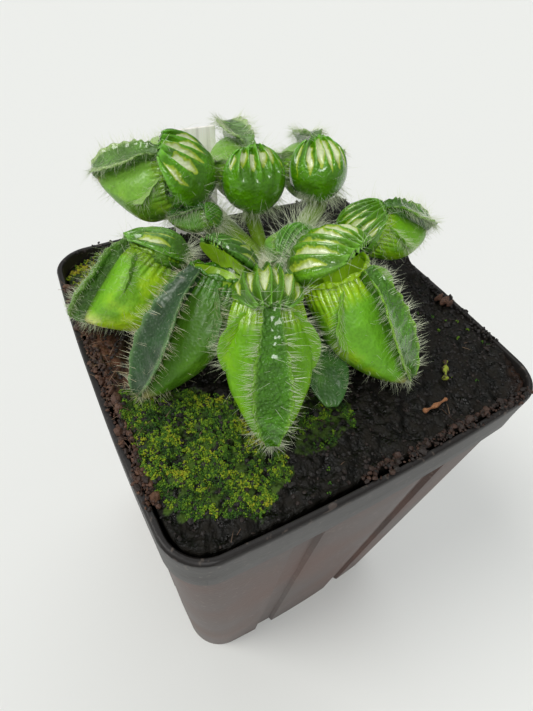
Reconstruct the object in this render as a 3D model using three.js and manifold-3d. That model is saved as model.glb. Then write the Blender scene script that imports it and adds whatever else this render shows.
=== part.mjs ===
// A hairy Albany-type pitcher plant in a deep square nursery pot.
// Millimetres, +Z up. The origin is the middle of the pot's underside.
// +X runs to the pot's right corner side and +Y to its back, as seen from the front corner.

import * as THREE from 'three';
import { mergeVertices } from 'three/addons/utils/BufferGeometryUtils.js';
import Module from 'manifold-3d';

const wasm = await Module();
wasm.setup();

// ---------------------------------------------------------------- driving dimensions

const POT_SIDE = 90; // outer width of the rim
const POT_HEIGHT = 126;
const POT_BOTTOM_SIDE = 81.2;
const RIM_RADIUS = 9.2; // corner radius at the rim
const BASE_RADIUS = 12.5; // corner radius at the foot
const SIDE_BOW = 1.1; // the filled pot's sides swell outwards by this much
const BAND_HEIGHT = 12.3; // the smooth rim band
const BAND_STEP = 1.0; // how far the body stands back under the band
const WALL = 1.2;
const LIP_WALL = 1.5;
const FLOOR = 1.4;
const GROOVE_OUTER = 21.5; // distances from the middle of a side
const GROOVE_INNER = 13.9;
const GROOVE_DEPTH = 1.2;
const DRAIN_HOLE = 6;
const DRAIN_OFFSET = 24;
const GAP = 0.3; // the space that touching pieces keep

const SOIL_LEVEL = -0.5; // below the rim's top
const SOIL_LUMP = 0.45;
const SOIL_RINGS = 8;
const SOIL_SECTORS = 36;

const CROWN_X = 3;
const CROWN_Y = 11;
const CROWN_RADIUS = 5;
const CROWN_TOP = 7.5;
const CROWN_ROOT = -9;

const LABEL_WIDTH = 13;
const LABEL_THICKNESS = 0.8;
const LABEL_LEAN = 5; // degrees, to the back
const LABEL_X = -5;
const LABEL_Y = 40.8;
const LABEL_TOP = 28;
const LABEL_ROOT = -28;

// ---------------------------------------------------------------- small helpers

const { cos, sin, PI, abs, min, max, sqrt } = Math;
const vec = (x, y, z) => new THREE.Vector3(x, y, z);
const rad = THREE.MathUtils.degToRad;
const mix = THREE.MathUtils.lerp;
const smooth = THREE.MathUtils.smoothstep;

// Reads a smooth value at t from rows [t, a, b, ...] through the given column.
function profile(rows, column, t) {
  let i = 0;
  while (i < rows.length - 2 && t > rows[i + 1][0]) i += 1;
  const [a, b] = [rows[i], rows[i + 1]];
  const before = rows[max(i - 1, 0)];
  const after = rows[min(i + 2, rows.length - 1)];
  const u = min(max((t - a[0]) / (b[0] - a[0]), 0), 1);
  const slopeA = (b[column] - before[column]) / (b[0] - before[0]) * (b[0] - a[0]);
  const slopeB = (after[column] - a[column]) / (after[0] - a[0]) * (b[0] - a[0]);
  const u2 = u * u;
  const u3 = u2 * u;
  return (2 * u3 - 3 * u2 + 1) * a[column] + (u3 - 2 * u2 + u) * slopeA
    + (3 * u2 - 2 * u3) * b[column] + (u3 - u2) * slopeB;
}

function volume(positions, index) {
  let six = 0;
  const [a, b, c] = [vec(), vec(), vec()];
  for (let i = 0; i < index.length; i += 3) {
    a.fromArray(positions, index[i] * 3);
    b.fromArray(positions, index[i + 1] * 3);
    c.fromArray(positions, index[i + 2] * 3);
    six += a.dot(b.cross(c));
  }
  return six;
}

// Joins rings of equally many points into one closed skin, with a fan at either end.
function skin(rings) {
  const count = rings[0].length;
  const positions = rings.flat().flatMap((p) => [p.x, p.y, p.z]);
  const index = [];
  for (let i = 0; i < rings.length - 1; i += 1) {
    for (let j = 0; j < count; j += 1) {
      const k = (j + 1) % count;
      const [a, b, c, d] = [i * count + j, i * count + k, (i + 1) * count + k, (i + 1) * count + j];
      index.push(a, b, c, a, c, d);
    }
  }
  for (const [ring, turn] of [[0, 1], [rings.length - 1, 0]]) {
    const middle = rings[ring].reduce((sum, p) => sum.add(p), vec(0, 0, 0)).divideScalar(count);
    const centre = positions.length / 3;
    positions.push(middle.x, middle.y, middle.z);
    for (let j = 0; j < count; j += 1) {
      const pair = [ring * count + j, ring * count + (j + 1) % count];
      if (turn) pair.reverse();
      index.push(centre, ...pair);
    }
  }
  if (volume(positions, index) < 0) index.reverse();
  const geometry = new THREE.BufferGeometry();
  geometry.setAttribute('position', new THREE.Float32BufferAttribute(positions, 3));
  geometry.setIndex(index);
  return geometry;
}

function toSolid(geometry) {
  geometry.deleteAttribute('normal');
  geometry.deleteAttribute('uv');
  const merged = mergeVertices(geometry, 1e-4);
  return new wasm.Manifold(new wasm.Mesh({
    numProp: 3,
    vertProperties: merged.attributes.position.array,
    triVerts: new Uint32Array(merged.index.array),
  }));
}

function toGeometry(solid) {
  const mesh = solid.getMesh();
  const geometry = new THREE.BufferGeometry();
  geometry.setAttribute('position', new THREE.BufferAttribute(mesh.vertProperties, 3));
  geometry.setIndex(new THREE.BufferAttribute(mesh.triVerts, 1));
  geometry.computeVertexNormals();
  return geometry;
}

const join = (solids) => solids.reduce((all, one) => all.add(one));

// The biggest of the bodies that a cut has left.
const biggest = (solid) => solid.decompose().reduce((a, b) => (b.volume() > a.volume() ? b : a));

function material(colour, roughness, metalness = 0) {
  return new THREE.MeshStandardMaterial({ color: colour, roughness, metalness });
}

const potPlastic = material(0x2b2422, 0.42);
const wetPeat = material(0x17130f, 0.8);
const leafBright = material(0x4ea51c, 0.3);
const leafDark = material(0x1f5a2a, 0.34);
const leafPale = material(0x6aa552, 0.42);
const leafYoung = material(0x4b8f3d, 0.55);
const crownFlesh = material(0x8aa536, 0.5);
const labelPlastic = material(0xe4e4de, 0.4);
const deadWood = material(0x8a4a22, 0.75);
const mossyWood = material(0x55501f, 0.85);

function mesh(name, geometry, look) {
  const piece = new THREE.Mesh(geometry, look);
  piece.name = name;
  return piece;
}

// ---------------------------------------------------------------- the pot

// One level of the square outline, with rounded corners, swollen sides and two grooves a side.
function squareRing(z, half, radius, grooveDepth) {
  const scale = half / (POT_SIDE / 2);
  const wall = 0.4;
  const stops = [
    [GROOVE_OUTER, 0], [GROOVE_OUTER - wall, 1], [GROOVE_INNER + wall, 1], [GROOVE_INNER, 0], [0, 0],
  ];
  const mirrored = stops.slice(0, 4).reverse().map(([s, deep]) => [-s, deep]);
  const straight = half - radius;
  const ring = [];
  for (let side = 0; side < 4; side += 1) {
    const turn = side * PI / 2;
    const place = (along, out) => {
      ring.push(vec(cos(turn) * along + sin(turn) * out, sin(turn) * along - cos(turn) * out, z));
    };
    for (const [s, deep] of [...stops, ...mirrored]) {
      const along = -s * scale;
      const swell = SIDE_BOW * (1 - (along / straight) ** 2);
      place(along, half + swell - deep * grooveDepth);
    }
    for (let k = 0; k <= 4; k += 1) {
      const a = k / 4 * PI / 2;
      place(straight + radius * sin(a), straight + radius * cos(a));
    }
  }
  return ring;
}

function makePot() {
  const top = POT_SIDE / 2;
  const under = top - BAND_STEP;
  const foot = POT_BOTTOM_SIDE / 2;
  const bandZ = POT_HEIGHT - BAND_HEIGHT;
  const inside = top - LIP_WALL;
  const rings = [
    squareRing(0, foot - 0.8, BASE_RADIUS, GROOVE_DEPTH),
    squareRing(0.8, foot, BASE_RADIUS, GROOVE_DEPTH),
    squareRing(bandZ, under, RIM_RADIUS, GROOVE_DEPTH),
    squareRing(bandZ + 0.05, top - 0.35, RIM_RADIUS, 0),
    squareRing(POT_HEIGHT - 0.5, top, RIM_RADIUS, 0),
    squareRing(POT_HEIGHT, top - 0.4, RIM_RADIUS, 0),
    squareRing(POT_HEIGHT, inside + 0.2, RIM_RADIUS - LIP_WALL, 0),
    squareRing(POT_HEIGHT - 0.5, inside, RIM_RADIUS - LIP_WALL, 0),
    squareRing(bandZ + 2, inside - 0.3, RIM_RADIUS - LIP_WALL, 0),
    squareRing(bandZ - 1, under - WALL, RIM_RADIUS - WALL, GROOVE_DEPTH),
    squareRing(FLOOR, foot - WALL, BASE_RADIUS - WALL, GROOVE_DEPTH),
  ];
  let pot = toSolid(skin(rings));
  for (const [x, y] of [[1, 1], [1, -1], [-1, 1], [-1, -1]]) {
    const hole = new THREE.CylinderGeometry(DRAIN_HOLE / 2, DRAIN_HOLE / 2, 3 * FLOOR, 8);
    hole.rotateX(PI / 2);
    hole.translate(x * DRAIN_OFFSET, y * DRAIN_OFFSET, FLOOR / 2);
    pot = pot.subtract(toSolid(hole));
  }
  return pot;
}

// ---------------------------------------------------------------- the potting mix

// Heights here and below are above the rim's top plane, at z = POT_HEIGHT.
function soilHeight(x, y) {
  const bump = (cx, cy, reach, lift) => lift * Math.exp(-((x - cx) ** 2 + (y - cy) ** 2) / reach ** 2);
  const lumps = sin(x * 0.55 + 1.3 * sin(y * 0.31)) * cos(y * 0.47 + 0.8 * sin(x * 0.23 + 1))
    + 0.5 * sin(x * 0.93 - y * 0.71 + 2);
  return SOIL_LEVEL + SOIL_LUMP * lumps
    + bump(41, 14, 14, 5.6) + bump(40, 34, 10, 3.6) // heaped at the right back
    + bump(-40, 41, 12, -2.6) // sunken in the left back corner
    + bump(-42, -8, 13, 2.4) + bump(-24, -34, 13, 0.8); // the crumbly left edge and mossy front
}

function makePeat() {
  const half = POT_SIDE / 2 - LIP_WALL - GAP;
  const straight = half - 8;
  const rings = [];
  const edge = (j) => {
    const a = j / SOIL_SECTORS * 2 * PI;
    const [c, s] = [cos(a), sin(a)];
    const power = 6.5;
    const reach = half / (abs(c) ** power + abs(s) ** power) ** (1 / power);
    return [c * reach, s * reach];
  };
  const level = (z, shrink) => {
    const ring = [];
    for (let j = 0; j < SOIL_SECTORS; j += 1) {
      const [x, y] = edge(j);
      ring.push(vec(x * shrink, y * shrink, z));
    }
    return ring;
  };
  const floorZ = FLOOR + GAP - POT_HEIGHT;
  const foot = (POT_BOTTOM_SIDE / 2 - WALL - GROOVE_DEPTH - GAP) / half;
  const under = (straight + 8 - 2.6) / half;
  rings.push(level(floorZ, foot * 0.97));
  rings.push(level(floorZ + 2, foot));
  rings.push(level(-BAND_HEIGHT - 2, under));
  rings.push(level(-BAND_HEIGHT + 3.5, 1 - 0.3 / half));
  for (let i = SOIL_RINGS; i >= 1; i -= 1) {
    const share = i / SOIL_RINGS;
    const ring = [];
    for (let j = 0; j < SOIL_SECTORS; j += 1) {
      const [x, y] = edge(j);
      ring.push(vec(x * share, y * share, soilHeight(x * share, y * share)));
    }
    rings.push(ring);
  }
  return toSolid(skin(rings));
}

// ---------------------------------------------------------------- one pitcher

// Local axes of a pitcher: z from its lowest tip to the middle of its mouth, y to its front,
// where the broad central wing is, and x to its side.
const CUP_PROFILE = [
  // share of length, half width, depth to the front, depth to the back
  [0, 1.2, 0.9, 0.9],
  [0.07, 3.0, 1.5, 3.2],
  [0.22, 5.6, 2.6, 6.0],
  [0.42, 7.9, 3.8, 7.8],
  [0.62, 8.7, 4.7, 7.9],
  [0.84, 7.5, 5.2, 6.6],
  [1, 6.2, 5.2, 5.2],
];
const CUP_STOPS = [0, 0.05, 0.15, 0.3, 0.5, 0.72, 0.9, 1];
const BAND_PROFILE = [
  // share of length, half width of the central wing, height over the cup
  [0, 1.0, 1.0],
  [0.12, 2.4, 1.8],
  [0.3, 3.2, 2.4],
  [0.5, 2.9, 2.7],
  [0.72, 2.0, 2.7],
  [1, 1.2, 1.8],
];
const BAND_STOPS = [0, 0.09, 0.22, 0.4, 0.58, 0.77, 1];
const COLLAR_PROFILE = [[0.5, -0.9], [0.95, 0.1], [0.4, 0.8], [-0.7, 0.5]]; // out and up, in mm
const CUP_WALL = 1;

// Measures of one pitcher, and the point on its wall at share t of its length and at angle a
// from its front.
function shape(spec) {
  const size = spec.width ?? 1;
  const length = spec.mouth.distanceTo(spec.tip);
  const slant = spec.slant ?? 0.5; // the mouth's front edge is lower than its back
  const sides = spec.young ? 12 : 18;
  const wall = (t, a, inset = 0) => {
    const [w, front, back] = [1, 2, 3].map((column) => {
      const deepen = column === 3 ? mix(1, spec.deep ?? 1, sin(PI * t)) : 1;
      return profile(CUP_PROFILE, column, t) * size * deepen - inset;
    });
    const y = (cos(a) > 0 ? front : back) * cos(a);
    return vec(w * sin(a), y, t * length - slant * y * smooth(t, 0.45, 1));
  };
  const outward = (a) => vec(sin(a), cos(a), -slant * cos(a)).normalize();
  const upward = vec(0, slant, 1).normalize();
  return { size, length, slant, sides, wall, outward, upward };
}

// The cup with its ribbed collar in one skin. An open cup goes on down its inside.
function cup(form, hollow) {
  const ringAt = (place) => {
    const ring = [];
    for (let j = 0; j < form.sides; j += 1) ring.push(place(j / form.sides * 2 * PI, j));
    return ring;
  };
  const rings = CUP_STOPS.map((t) => ringAt((a) => form.wall(t, a)));
  for (const [out, high] of hollow ? COLLAR_PROFILE : COLLAR_PROFILE.slice(0, 3)) {
    rings.push(ringAt((a, j) => {
      const rib = (j % 2 ? 1.2 : 0.8) * form.size;
      return form.wall(1, a).addScaledVector(form.outward(a), out * rib)
        .addScaledVector(form.upward, high * rib);
    }));
  }
  if (hollow) {
    for (const t of [0.94, 0.7, 0.46, 0.3]) rings.push(ringAt((a) => form.wall(t, a, CUP_WALL)));
  }
  return toSolid(skin(rings));
}

// The cup and collar, a little larger all round, to press a dent into what they lean on.
function pressedCup(form) {
  const sides = 14;
  const ringAt = (place) => {
    const ring = [];
    for (let j = 0; j < sides; j += 1) ring.push(place(j / sides * 2 * PI));
    return ring;
  };
  const rings = CUP_STOPS.map((t) => ringAt((a) => {
    const p = form.wall(t, a, -GAP - 0.2);
    if (t === 0) p.z -= GAP + 0.1;
    return p;
  }));
  for (const high of [-1.2, 1.7]) {
    rings.push(ringAt((a) => form.wall(1, a).addScaledVector(form.outward(a), 1.6 * form.size + GAP)
      .addScaledVector(form.upward, high * form.size)));
  }
  return toSolid(skin(rings));
}

// The lid: a ribbed dome hinged at the back of the mouth, with a scalloped front edge.
// A closed lid is filled down to the mouth, and an open one is a thin shell.
function lid(form, spec, grow = 0) {
  const { open, shut = false } = spec.lid;
  const [long, wide, high] = [spec.lid.long + 2 * grow, spec.lid.wide + grow, spec.lid.high + grow];
  const turned = rad(open);
  const hinge = form.wall(1, PI).add(vec(0, 0.2, 0.6 * form.size));
  const forward = vec(0, 1, -form.slant).normalize();
  const along = forward.clone().multiplyScalar(cos(turned)).addScaledVector(form.upward, sin(turned));
  const normal = form.upward.clone().multiplyScalar(cos(turned)).addScaledVector(forward, -sin(turned));
  const columns = spec.young ? 8 : 10;
  const rows = spec.young ? 4 : 5;
  const thickness = 0.85;
  const heel = -1 - grow;
  const point = (u, v, lower) => {
    const column = Math.round((u + 1) / 2 * columns);
    const rib = abs(u) === 1 ? 0 : (column % 2 ? 1 : -1) * smooth(v, 0.1, 0.6);
    const half = wide * sqrt(1 - abs(1.84 * v - 0.92) ** 2.2);
    const dome = high * (1 - u * u) ** 0.6 * sin(PI * mix(0.12, 0.95, v) ** 0.9) + rib * 0.3;
    const front = v === 1 ? rib * 0.4 : 0;
    const shell = dome - thickness - 2 * grow;
    const rest = shut ? -2.4 : mix(-1.6 - grow, shell, smooth(v, 0, 0.35)); // fleshy at its hinge
    const inset = lower ? 0.94 : 1;
    return hinge.clone()
      .add(vec(half * u * form.size * inset, 0, 0))
      .addScaledVector(along, (v * long + heel + front + (1 - u * u) * (2 * v - 1)) * form.size * inset)
      .addScaledVector(normal, (lower ? rest : dome) * form.size);
  };
  // Each ring runs across the top and back across the underside.
  const rings = [];
  for (let i = 0; i <= rows; i += 1) {
    const ring = [];
    for (let k = 0; k <= columns; k += 1) ring.push(point(k / columns * 2 - 1, i / rows, false));
    const skip = shut ? columns : 1;
    for (let k = columns; k >= 0; k -= skip) ring.push(point(k / columns * 2 - 1, i / rows, true));
    rings.push(ring);
  }
  return toSolid(skin(rings));
}

// The broad central wing: a web on the cup's front that carries a flat band with two raised
// edges. Its lower end can stand up in a beak.
function centralWing(form, spec) {
  const { band = 1, beak = 0, lift = 0 } = spec;
  const rings = BAND_STOPS.map((t) => {
    const base = form.wall(t, 0);
    const raised = beak * (1 - smooth(t, 0, 0.5));
    const half = profile(BAND_PROFILE, 1, t) * form.size * band + raised * 0.5;
    const high = (profile(BAND_PROFILE, 2, t) + lift * sin(PI * t)) * form.size + raised;
    const neck = min(0.7, half * 0.5);
    const far = -raised * 0.8;
    return [
      [-half, high + 0.5], [0, high - 0.2], [half, high + 0.5], [half * 0.95, high - 0.4],
      [neck, high - 1.0], [neck, -1.4], [-neck, -1.4], [-neck, high - 1.0], [-half * 0.95, high - 0.4],
    ].map(([x, out]) => vec(base.x + x, base.y + out, base.z + (out > 0 ? far : 0)));
  });
  return toSolid(skin(rings));
}

// A lateral wing: a low fin that leaves the mouth beside the front and slants to the flank.
function sideWing(form, side, grow = 0) {
  const steps = 5;
  const rings = [];
  for (let i = 0; i <= steps; i += 1) {
    const s = i / steps;
    const a = side * mix(rad(46), rad(86), s);
    const root = form.wall(mix(0.93, 0.5, s), a);
    const out = vec(sin(a), cos(a), 0.1).normalize();
    const across = vec(-out.y, out.x, 0).multiplyScalar(0.75 + grow);
    const below = root.clone().addScaledVector(out, -1);
    const high = (1.8 * sin(PI * mix(0.08, 0.95, s)) + 0.1) * form.size;
    const edge = root.clone().addScaledVector(out, high + grow);
    rings.push([below.clone().add(across), edge, below.clone().sub(across)]);
  }
  return toSolid(skin(rings));
}

// A round stalk through the given points, from one radius to the other.
function stalk(points, radiusA, radiusB) {
  const curve = new THREE.CatmullRomCurve3(points);
  const [sides, steps] = [6, 5];
  const rings = [];
  for (let i = 0; i <= steps; i += 1) {
    const u = i / steps;
    const ahead = curve.getTangent(u);
    const sideways = vec(0, 0, 1).cross(ahead).normalize();
    const upward = ahead.clone().cross(sideways);
    const r = mix(radiusA, radiusB, u);
    const ring = [];
    for (let j = 0; j < sides; j += 1) {
      const a = j / sides * 2 * PI;
      ring.push(curve.getPoint(u).addScaledVector(sideways, r * cos(a)).addScaledVector(upward, r * sin(a)));
    }
    rings.push(ring);
  }
  return toSolid(skin(rings));
}

// The frame that carries local points of a pitcher to the rim's frame.
function frameOf(spec) {
  const z = spec.mouth.clone().sub(spec.tip).normalize();
  const y = spec.facing.clone().addScaledVector(z, -spec.facing.dot(z)).normalize();
  const x = y.clone().cross(z);
  return new THREE.Matrix4().makeBasis(x, y, z).setPosition(spec.tip);
}

function petiole(form, spec, frame, grow = 0) {
  const local = (p) => p.applyMatrix4(frame.clone().invert());
  const angle = rad(spec.from.angle);
  const out = vec(cos(angle), sin(angle), 0);
  const crown = vec(CROWN_X, CROWN_Y, spec.from.height);
  const root = crown.clone().addScaledVector(out, CROWN_RADIUS + GAP);
  const rise = crown.clone().addScaledVector(out, CROWN_RADIUS + 2.6).add(vec(0, 0, 2.6));
  const back = form.wall(0.88, PI);
  const leave = back.clone().add(vec(0, -2.6 * form.size, 0.8));
  const points = [local(root), local(rise), leave, back.add(vec(0, 1.4, 0))];
  const girth = spec.stalk ?? 1;
  return stalk(points, 1.2 * girth + grow, 2.1 * form.size * girth + grow);
}

function pitcher(spec) {
  const form = shape(spec);
  const frame = frameOf(spec);
  const parts = [cup(form, !spec.lid.shut), lid(form, spec), centralWing(form, spec)];
  if (!spec.young) parts.push(sideWing(form, 1), sideWing(form, -1));
  if (spec.from) parts.push(petiole(form, spec, frame));
  const clear = [pressedCup(form), lid(form, spec, GAP + 0.2)];
  if (!spec.young) clear.push(sideWing(form, 1, 0.6), sideWing(form, -1, 0.6));
  if (spec.from) clear.push(petiole(form, spec, frame, GAP + 0.1));
  return {
    solid: join(parts).transform(frame.elements),
    pressed: join(clear).transform(frame.elements),
  };
}

// Every pitcher, in the rim's frame: its lowest tip, the middle of its mouth, where its front
// looks, and where its stalk leaves the crown.
const PITCHERS = [
  {
    name: 'pitcher_front', look: leafBright, width: 0.96,
    tip: vec(-20.9, -31.2, 2.6), mouth: vec(-12.6, -11.6, 20), facing: vec(-0.28, -0.56, 0.77),
    lid: { open: -2, long: 14, wide: 7.1, high: 5, shut: true },
    from: { angle: 229, height: 3.5 },
  },
  {
    name: 'pitcher_front_right', look: leafBright, width: 1.1,
    tip: vec(12.2, -30.3, 3.2), mouth: vec(3.4, -10, 20), facing: vec(0.2, -0.6, 0.77),
    lid: { open: 16, long: 13.5, wide: 8.8, high: 5.4 },
    from: { angle: 283, height: 3.5 },
  },
  {
    name: 'pitcher_front_left', look: leafDark, width: 0.93, deep: 1.15,
    tip: vec(-38.3, -10.7, 2.3), mouth: vec(-17, -0.3, 18.2), facing: vec(-0.7, -0.12, 0.69),
    lid: { open: 30, long: 12.5, wide: 7.4, high: 4.4 }, band: 1.35, lift: 0.3,
    from: { angle: 203, height: 3.5 },
  },
  {
    name: 'pitcher_left', look: leafBright, width: 0.94, beak: 1.6, deep: 1.6,
    tip: vec(-42.8, 11.4, 4.6), mouth: vec(-25, 15, 14.6), facing: vec(-0.45, 0.5, 0.72),
    lid: { open: 2, long: 14, wide: 7.6, high: 5.2, shut: true },
    from: { angle: 164, height: 2.5 },
  },
  {
    name: 'pitcher_back_left', look: leafPale, width: 1, beak: 1, deep: 1.55,
    tip: vec(-29.3, 40.8, 20.3), mouth: vec(-13, 31, 23), facing: vec(-0.25, -0.25, 1),
    lid: { open: 6, long: 15.6, wide: 8.8, high: 7.4, shut: true }, stalk: 2.1,
    from: { angle: 118, height: 3.5 },
  },
  {
    name: 'pitcher_back', look: leafPale, width: 0.96, beak: 2.2, deep: 1.25,
    tip: vec(5, 43, 24), mouth: vec(3.2, 25, 22), facing: vec(0, 0.1, 1),
    lid: { open: 4, long: 14.2, wide: 8.4, high: 6.4, shut: true }, stalk: 1.15,
    from: { angle: 84, height: 3.5 },
  },
  {
    name: 'pitcher_back_right', look: leafPale, width: 0.94, beak: 0.6, deep: 1.35,
    tip: vec(24.2, 37.4, 22), mouth: vec(19.5, 21.6, 23.4), facing: vec(0, 0.1, 1),
    lid: { open: 4, long: 14, wide: 7.9, high: 6, shut: true }, stalk: 1.5,
    from: { angle: 40, height: 3.5 },
  },
  {
    name: 'pitcher_right', look: leafBright, width: 0.88, beak: 1.2,
    tip: vec(37.6, -1.6, 16), mouth: vec(20, 1, 19.4), facing: vec(0.05, -0.1, 1),
    lid: { open: 4, long: 13.4, wide: 7.2, high: 5.4, shut: true },
    from: { angle: 330, height: 2.8 },
  },
  {
    name: 'young_pitcher_centre', look: leafYoung, width: 0.74, young: true,
    tip: vec(1.4, 6.8, CROWN_TOP + GAP), mouth: vec(4.4, 5.2, 15.8), facing: vec(-0.6, -0.6, 0.5),
    lid: { open: 0, long: 13, wide: 6.6, high: 4, shut: true },
  },
  {
    name: 'young_pitcher_left', look: leafYoung, width: 0.46, young: true,
    tip: vec(-17.8, 27.4, 14.8), mouth: vec(-8.6, 22.8, 16.2), facing: vec(-0.2, -0.3, 0.93),
    lid: { open: 0, long: 13, wide: 6.6, high: 4, shut: true },
    from: { angle: 140, height: 5.2 },
  },
];

// ---------------------------------------------------------------- small leaf, crown and litter

// A small oval leaf that lies low between the two front pitchers.
function makeSmallLeaf() {
  const base = vec(1.5, -9, 6);
  const end = vec(-5.2, -28.6, 1.4);
  const along = end.clone().sub(base);
  const across = vec(0, 0, 1).cross(along).normalize();
  const up = along.clone().cross(across).normalize();
  const rings = [];
  const rows = 9;
  for (let i = 0; i <= rows; i += 1) {
    const v = i / rows;
    const half = 0.5 + 4.1 * sin(PI * min(max((v - 0.3) / 0.72, 0), 0.97)) ** 0.7;
    const middle = base.clone().addScaledVector(along, v).addScaledVector(up, 2.2 * sin(PI * v));
    const ring = [];
    for (let j = 0; j < 8; j += 1) {
      const a = j / 8 * 2 * PI;
      const thick = 0.55 + 0.35 * (1 - v);
      ring.push(middle.clone()
        .addScaledVector(across, half * cos(a))
        .addScaledVector(up, thick * sin(a) + 0.5 * cos(a) ** 2));
    }
    rings.push(ring);
  }
  return toSolid(skin(rings));
}

function makeCrown(grow = 0) {
  const rows = [
    [CROWN_ROOT, 1.6], [CROWN_ROOT + 3, 3.4], [-2, 4.6], [2, CROWN_RADIUS], [5, CROWN_RADIUS - 0.2],
    [6.8, 3.8], [CROWN_TOP, 2.2],
  ];
  const rings = rows.map(([z, r], i) => {
    const ring = [];
    for (let j = 0; j < 12; j += 1) {
      const a = (j + i * 0.5) / 12 * 2 * PI;
      const knob = (1 + 0.05 * (j % 2 ? -1 : 1)) * r - 0.25 + grow;
      ring.push(vec(CROWN_X + knob * cos(a), CROWN_Y + knob * sin(a), z + (i === 0 ? -grow : 0)));
    }
    return ring;
  });
  return toSolid(skin(rings));
}

// A white plant label without writing, stuck in behind the plant, with a pointed foot.
function makeLabel(grow = 0) {
  const half = LABEL_WIDTH / 2 + grow;
  const outline = new THREE.Shape([
    new THREE.Vector2(-half, LABEL_TOP - 1), new THREE.Vector2(-half + 1, LABEL_TOP),
    new THREE.Vector2(half - 1, LABEL_TOP), new THREE.Vector2(half, LABEL_TOP - 1),
    new THREE.Vector2(half, LABEL_ROOT + 9), new THREE.Vector2(0, LABEL_ROOT - grow),
    new THREE.Vector2(-half, LABEL_ROOT + 9),
  ].reverse());
  const depth = LABEL_THICKNESS + 2 * grow;
  const tag = new THREE.ExtrudeGeometry(outline, { depth, bevelEnabled: false });
  tag.translate(0, 0, -depth / 2);
  tag.rotateX(PI / 2);
  tag.rotateX(-rad(LABEL_LEAN));
  tag.translate(LABEL_X, LABEL_Y, 0);
  return toSolid(tag);
}

// A twig or chip that lies on the potting mix, from one end to the other.
function litter(x1, y1, x2, y2, radius, flat = 1) {
  const points = [0, 0.33, 0.66, 1].map((u) => {
    const [x, y] = [mix(x1, x2, u), mix(y1, y2, u)];
    return vec(x, y, soilHeight(x, y) + radius + 0.8);
  });
  const curve = new THREE.CatmullRomCurve3(points);
  const rings = [];
  for (let i = 0; i <= 6; i += 1) {
    const p = curve.getPoint(i / 6);
    const t = curve.getTangent(i / 6);
    const sideways = vec(0, 0, 1).cross(t).normalize();
    const upward = t.clone().cross(sideways);
    const r = radius * (0.75 + 0.35 * sin(i * 2.1 + 1));
    const ring = [];
    for (let j = 0; j < 6; j += 1) {
      const a = j / 6 * 2 * PI;
      ring.push(p.clone().addScaledVector(sideways, r * flat * cos(a)).addScaledVector(upward, r * sin(a)));
    }
    rings.push(ring);
  }
  return toSolid(skin(rings));
}

// ---------------------------------------------------------------- putting it together

const plant = new THREE.Group();
plant.position.z = POT_HEIGHT;

const crown = makeCrown();
const label = makeLabel();
const leaves = PITCHERS.map((spec) => ({ ...spec, ...pitcher(spec) }));

// Leaves that press on each other are dented: each gives way to those before it.
const crownClear = makeCrown(GAP);
leaves.forEach((leaf, i) => {
  const before = leaves.slice(0, i).map((other) => other.pressed);
  leaf.solid = biggest([crownClear, ...before].reduce((left, other) => left.subtract(other), leaf.solid));
});
const pressedLeaves = join(leaves.map((leaf) => leaf.pressed));
const smallLeaf = biggest(makeSmallLeaf().subtract(pressedLeaves));
const peat = biggest(makePeat().subtract(crownClear).subtract(makeLabel(GAP)).subtract(pressedLeaves));

for (const leaf of leaves) plant.add(mesh(leaf.name, toGeometry(leaf.solid), leaf.look));
plant.add(mesh('small_leaf', toGeometry(smallLeaf), leafDark));
plant.add(mesh('crown', toGeometry(crown), crownFlesh));
plant.add(mesh('peat', toGeometry(peat), wetPeat));
plant.add(mesh('plant_label', toGeometry(label), labelPlastic));
plant.add(mesh('dry_twig', toGeometry(litter(12, -37.5, 19.5, -37, 0.5)), deadWood));
plant.add(mesh('mossy_twig', toGeometry(litter(23, -33, 26.5, -29, 0.7)), mossyWood));
plant.add(mesh('bark_chip', toGeometry(litter(41.5, -11, 42, -15, 1.1, 1.5)), deadWood));

const group = new THREE.Group();
group.add(mesh('pot', toGeometry(makePot()), potPlastic));
group.add(plant);

export default group;
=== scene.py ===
# A potted pitcher plant, dressed: leaves with ribs, windows and hairs, wet peat with moss,
# and a scuffed nursery pot. Measures are in millimetres until a piece's mesh is finished.

import math
import random

import bpy
from mathutils import Matrix, Vector, noise


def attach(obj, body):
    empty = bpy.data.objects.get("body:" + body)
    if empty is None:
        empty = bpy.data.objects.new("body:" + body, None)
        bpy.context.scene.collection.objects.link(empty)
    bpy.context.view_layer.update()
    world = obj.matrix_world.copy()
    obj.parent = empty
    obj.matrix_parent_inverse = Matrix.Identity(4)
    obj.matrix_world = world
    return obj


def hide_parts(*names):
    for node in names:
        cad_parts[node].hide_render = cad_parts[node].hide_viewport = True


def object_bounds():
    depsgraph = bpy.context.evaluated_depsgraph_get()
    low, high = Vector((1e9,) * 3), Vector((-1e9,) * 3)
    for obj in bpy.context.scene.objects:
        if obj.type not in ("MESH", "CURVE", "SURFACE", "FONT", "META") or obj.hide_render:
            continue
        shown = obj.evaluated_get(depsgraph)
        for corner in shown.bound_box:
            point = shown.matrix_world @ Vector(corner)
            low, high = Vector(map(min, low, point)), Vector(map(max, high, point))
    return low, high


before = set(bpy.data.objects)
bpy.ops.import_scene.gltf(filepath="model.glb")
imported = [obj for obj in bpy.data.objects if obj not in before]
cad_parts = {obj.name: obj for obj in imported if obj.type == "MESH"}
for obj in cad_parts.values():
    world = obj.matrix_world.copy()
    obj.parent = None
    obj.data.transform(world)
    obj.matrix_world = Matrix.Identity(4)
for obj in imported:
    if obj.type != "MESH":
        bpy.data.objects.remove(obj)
CAD_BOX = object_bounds()

MM = 0.001
SEAM_GAP = 0.002
RIM = 126.0  # height of the pot's rim, where the plant's own heights start
PI = math.pi
rng = random.Random(11)

bpy.ops.object.select_all(action="DESELECT")


# ------------------------------------------------------------------ camera, light and floor

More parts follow.
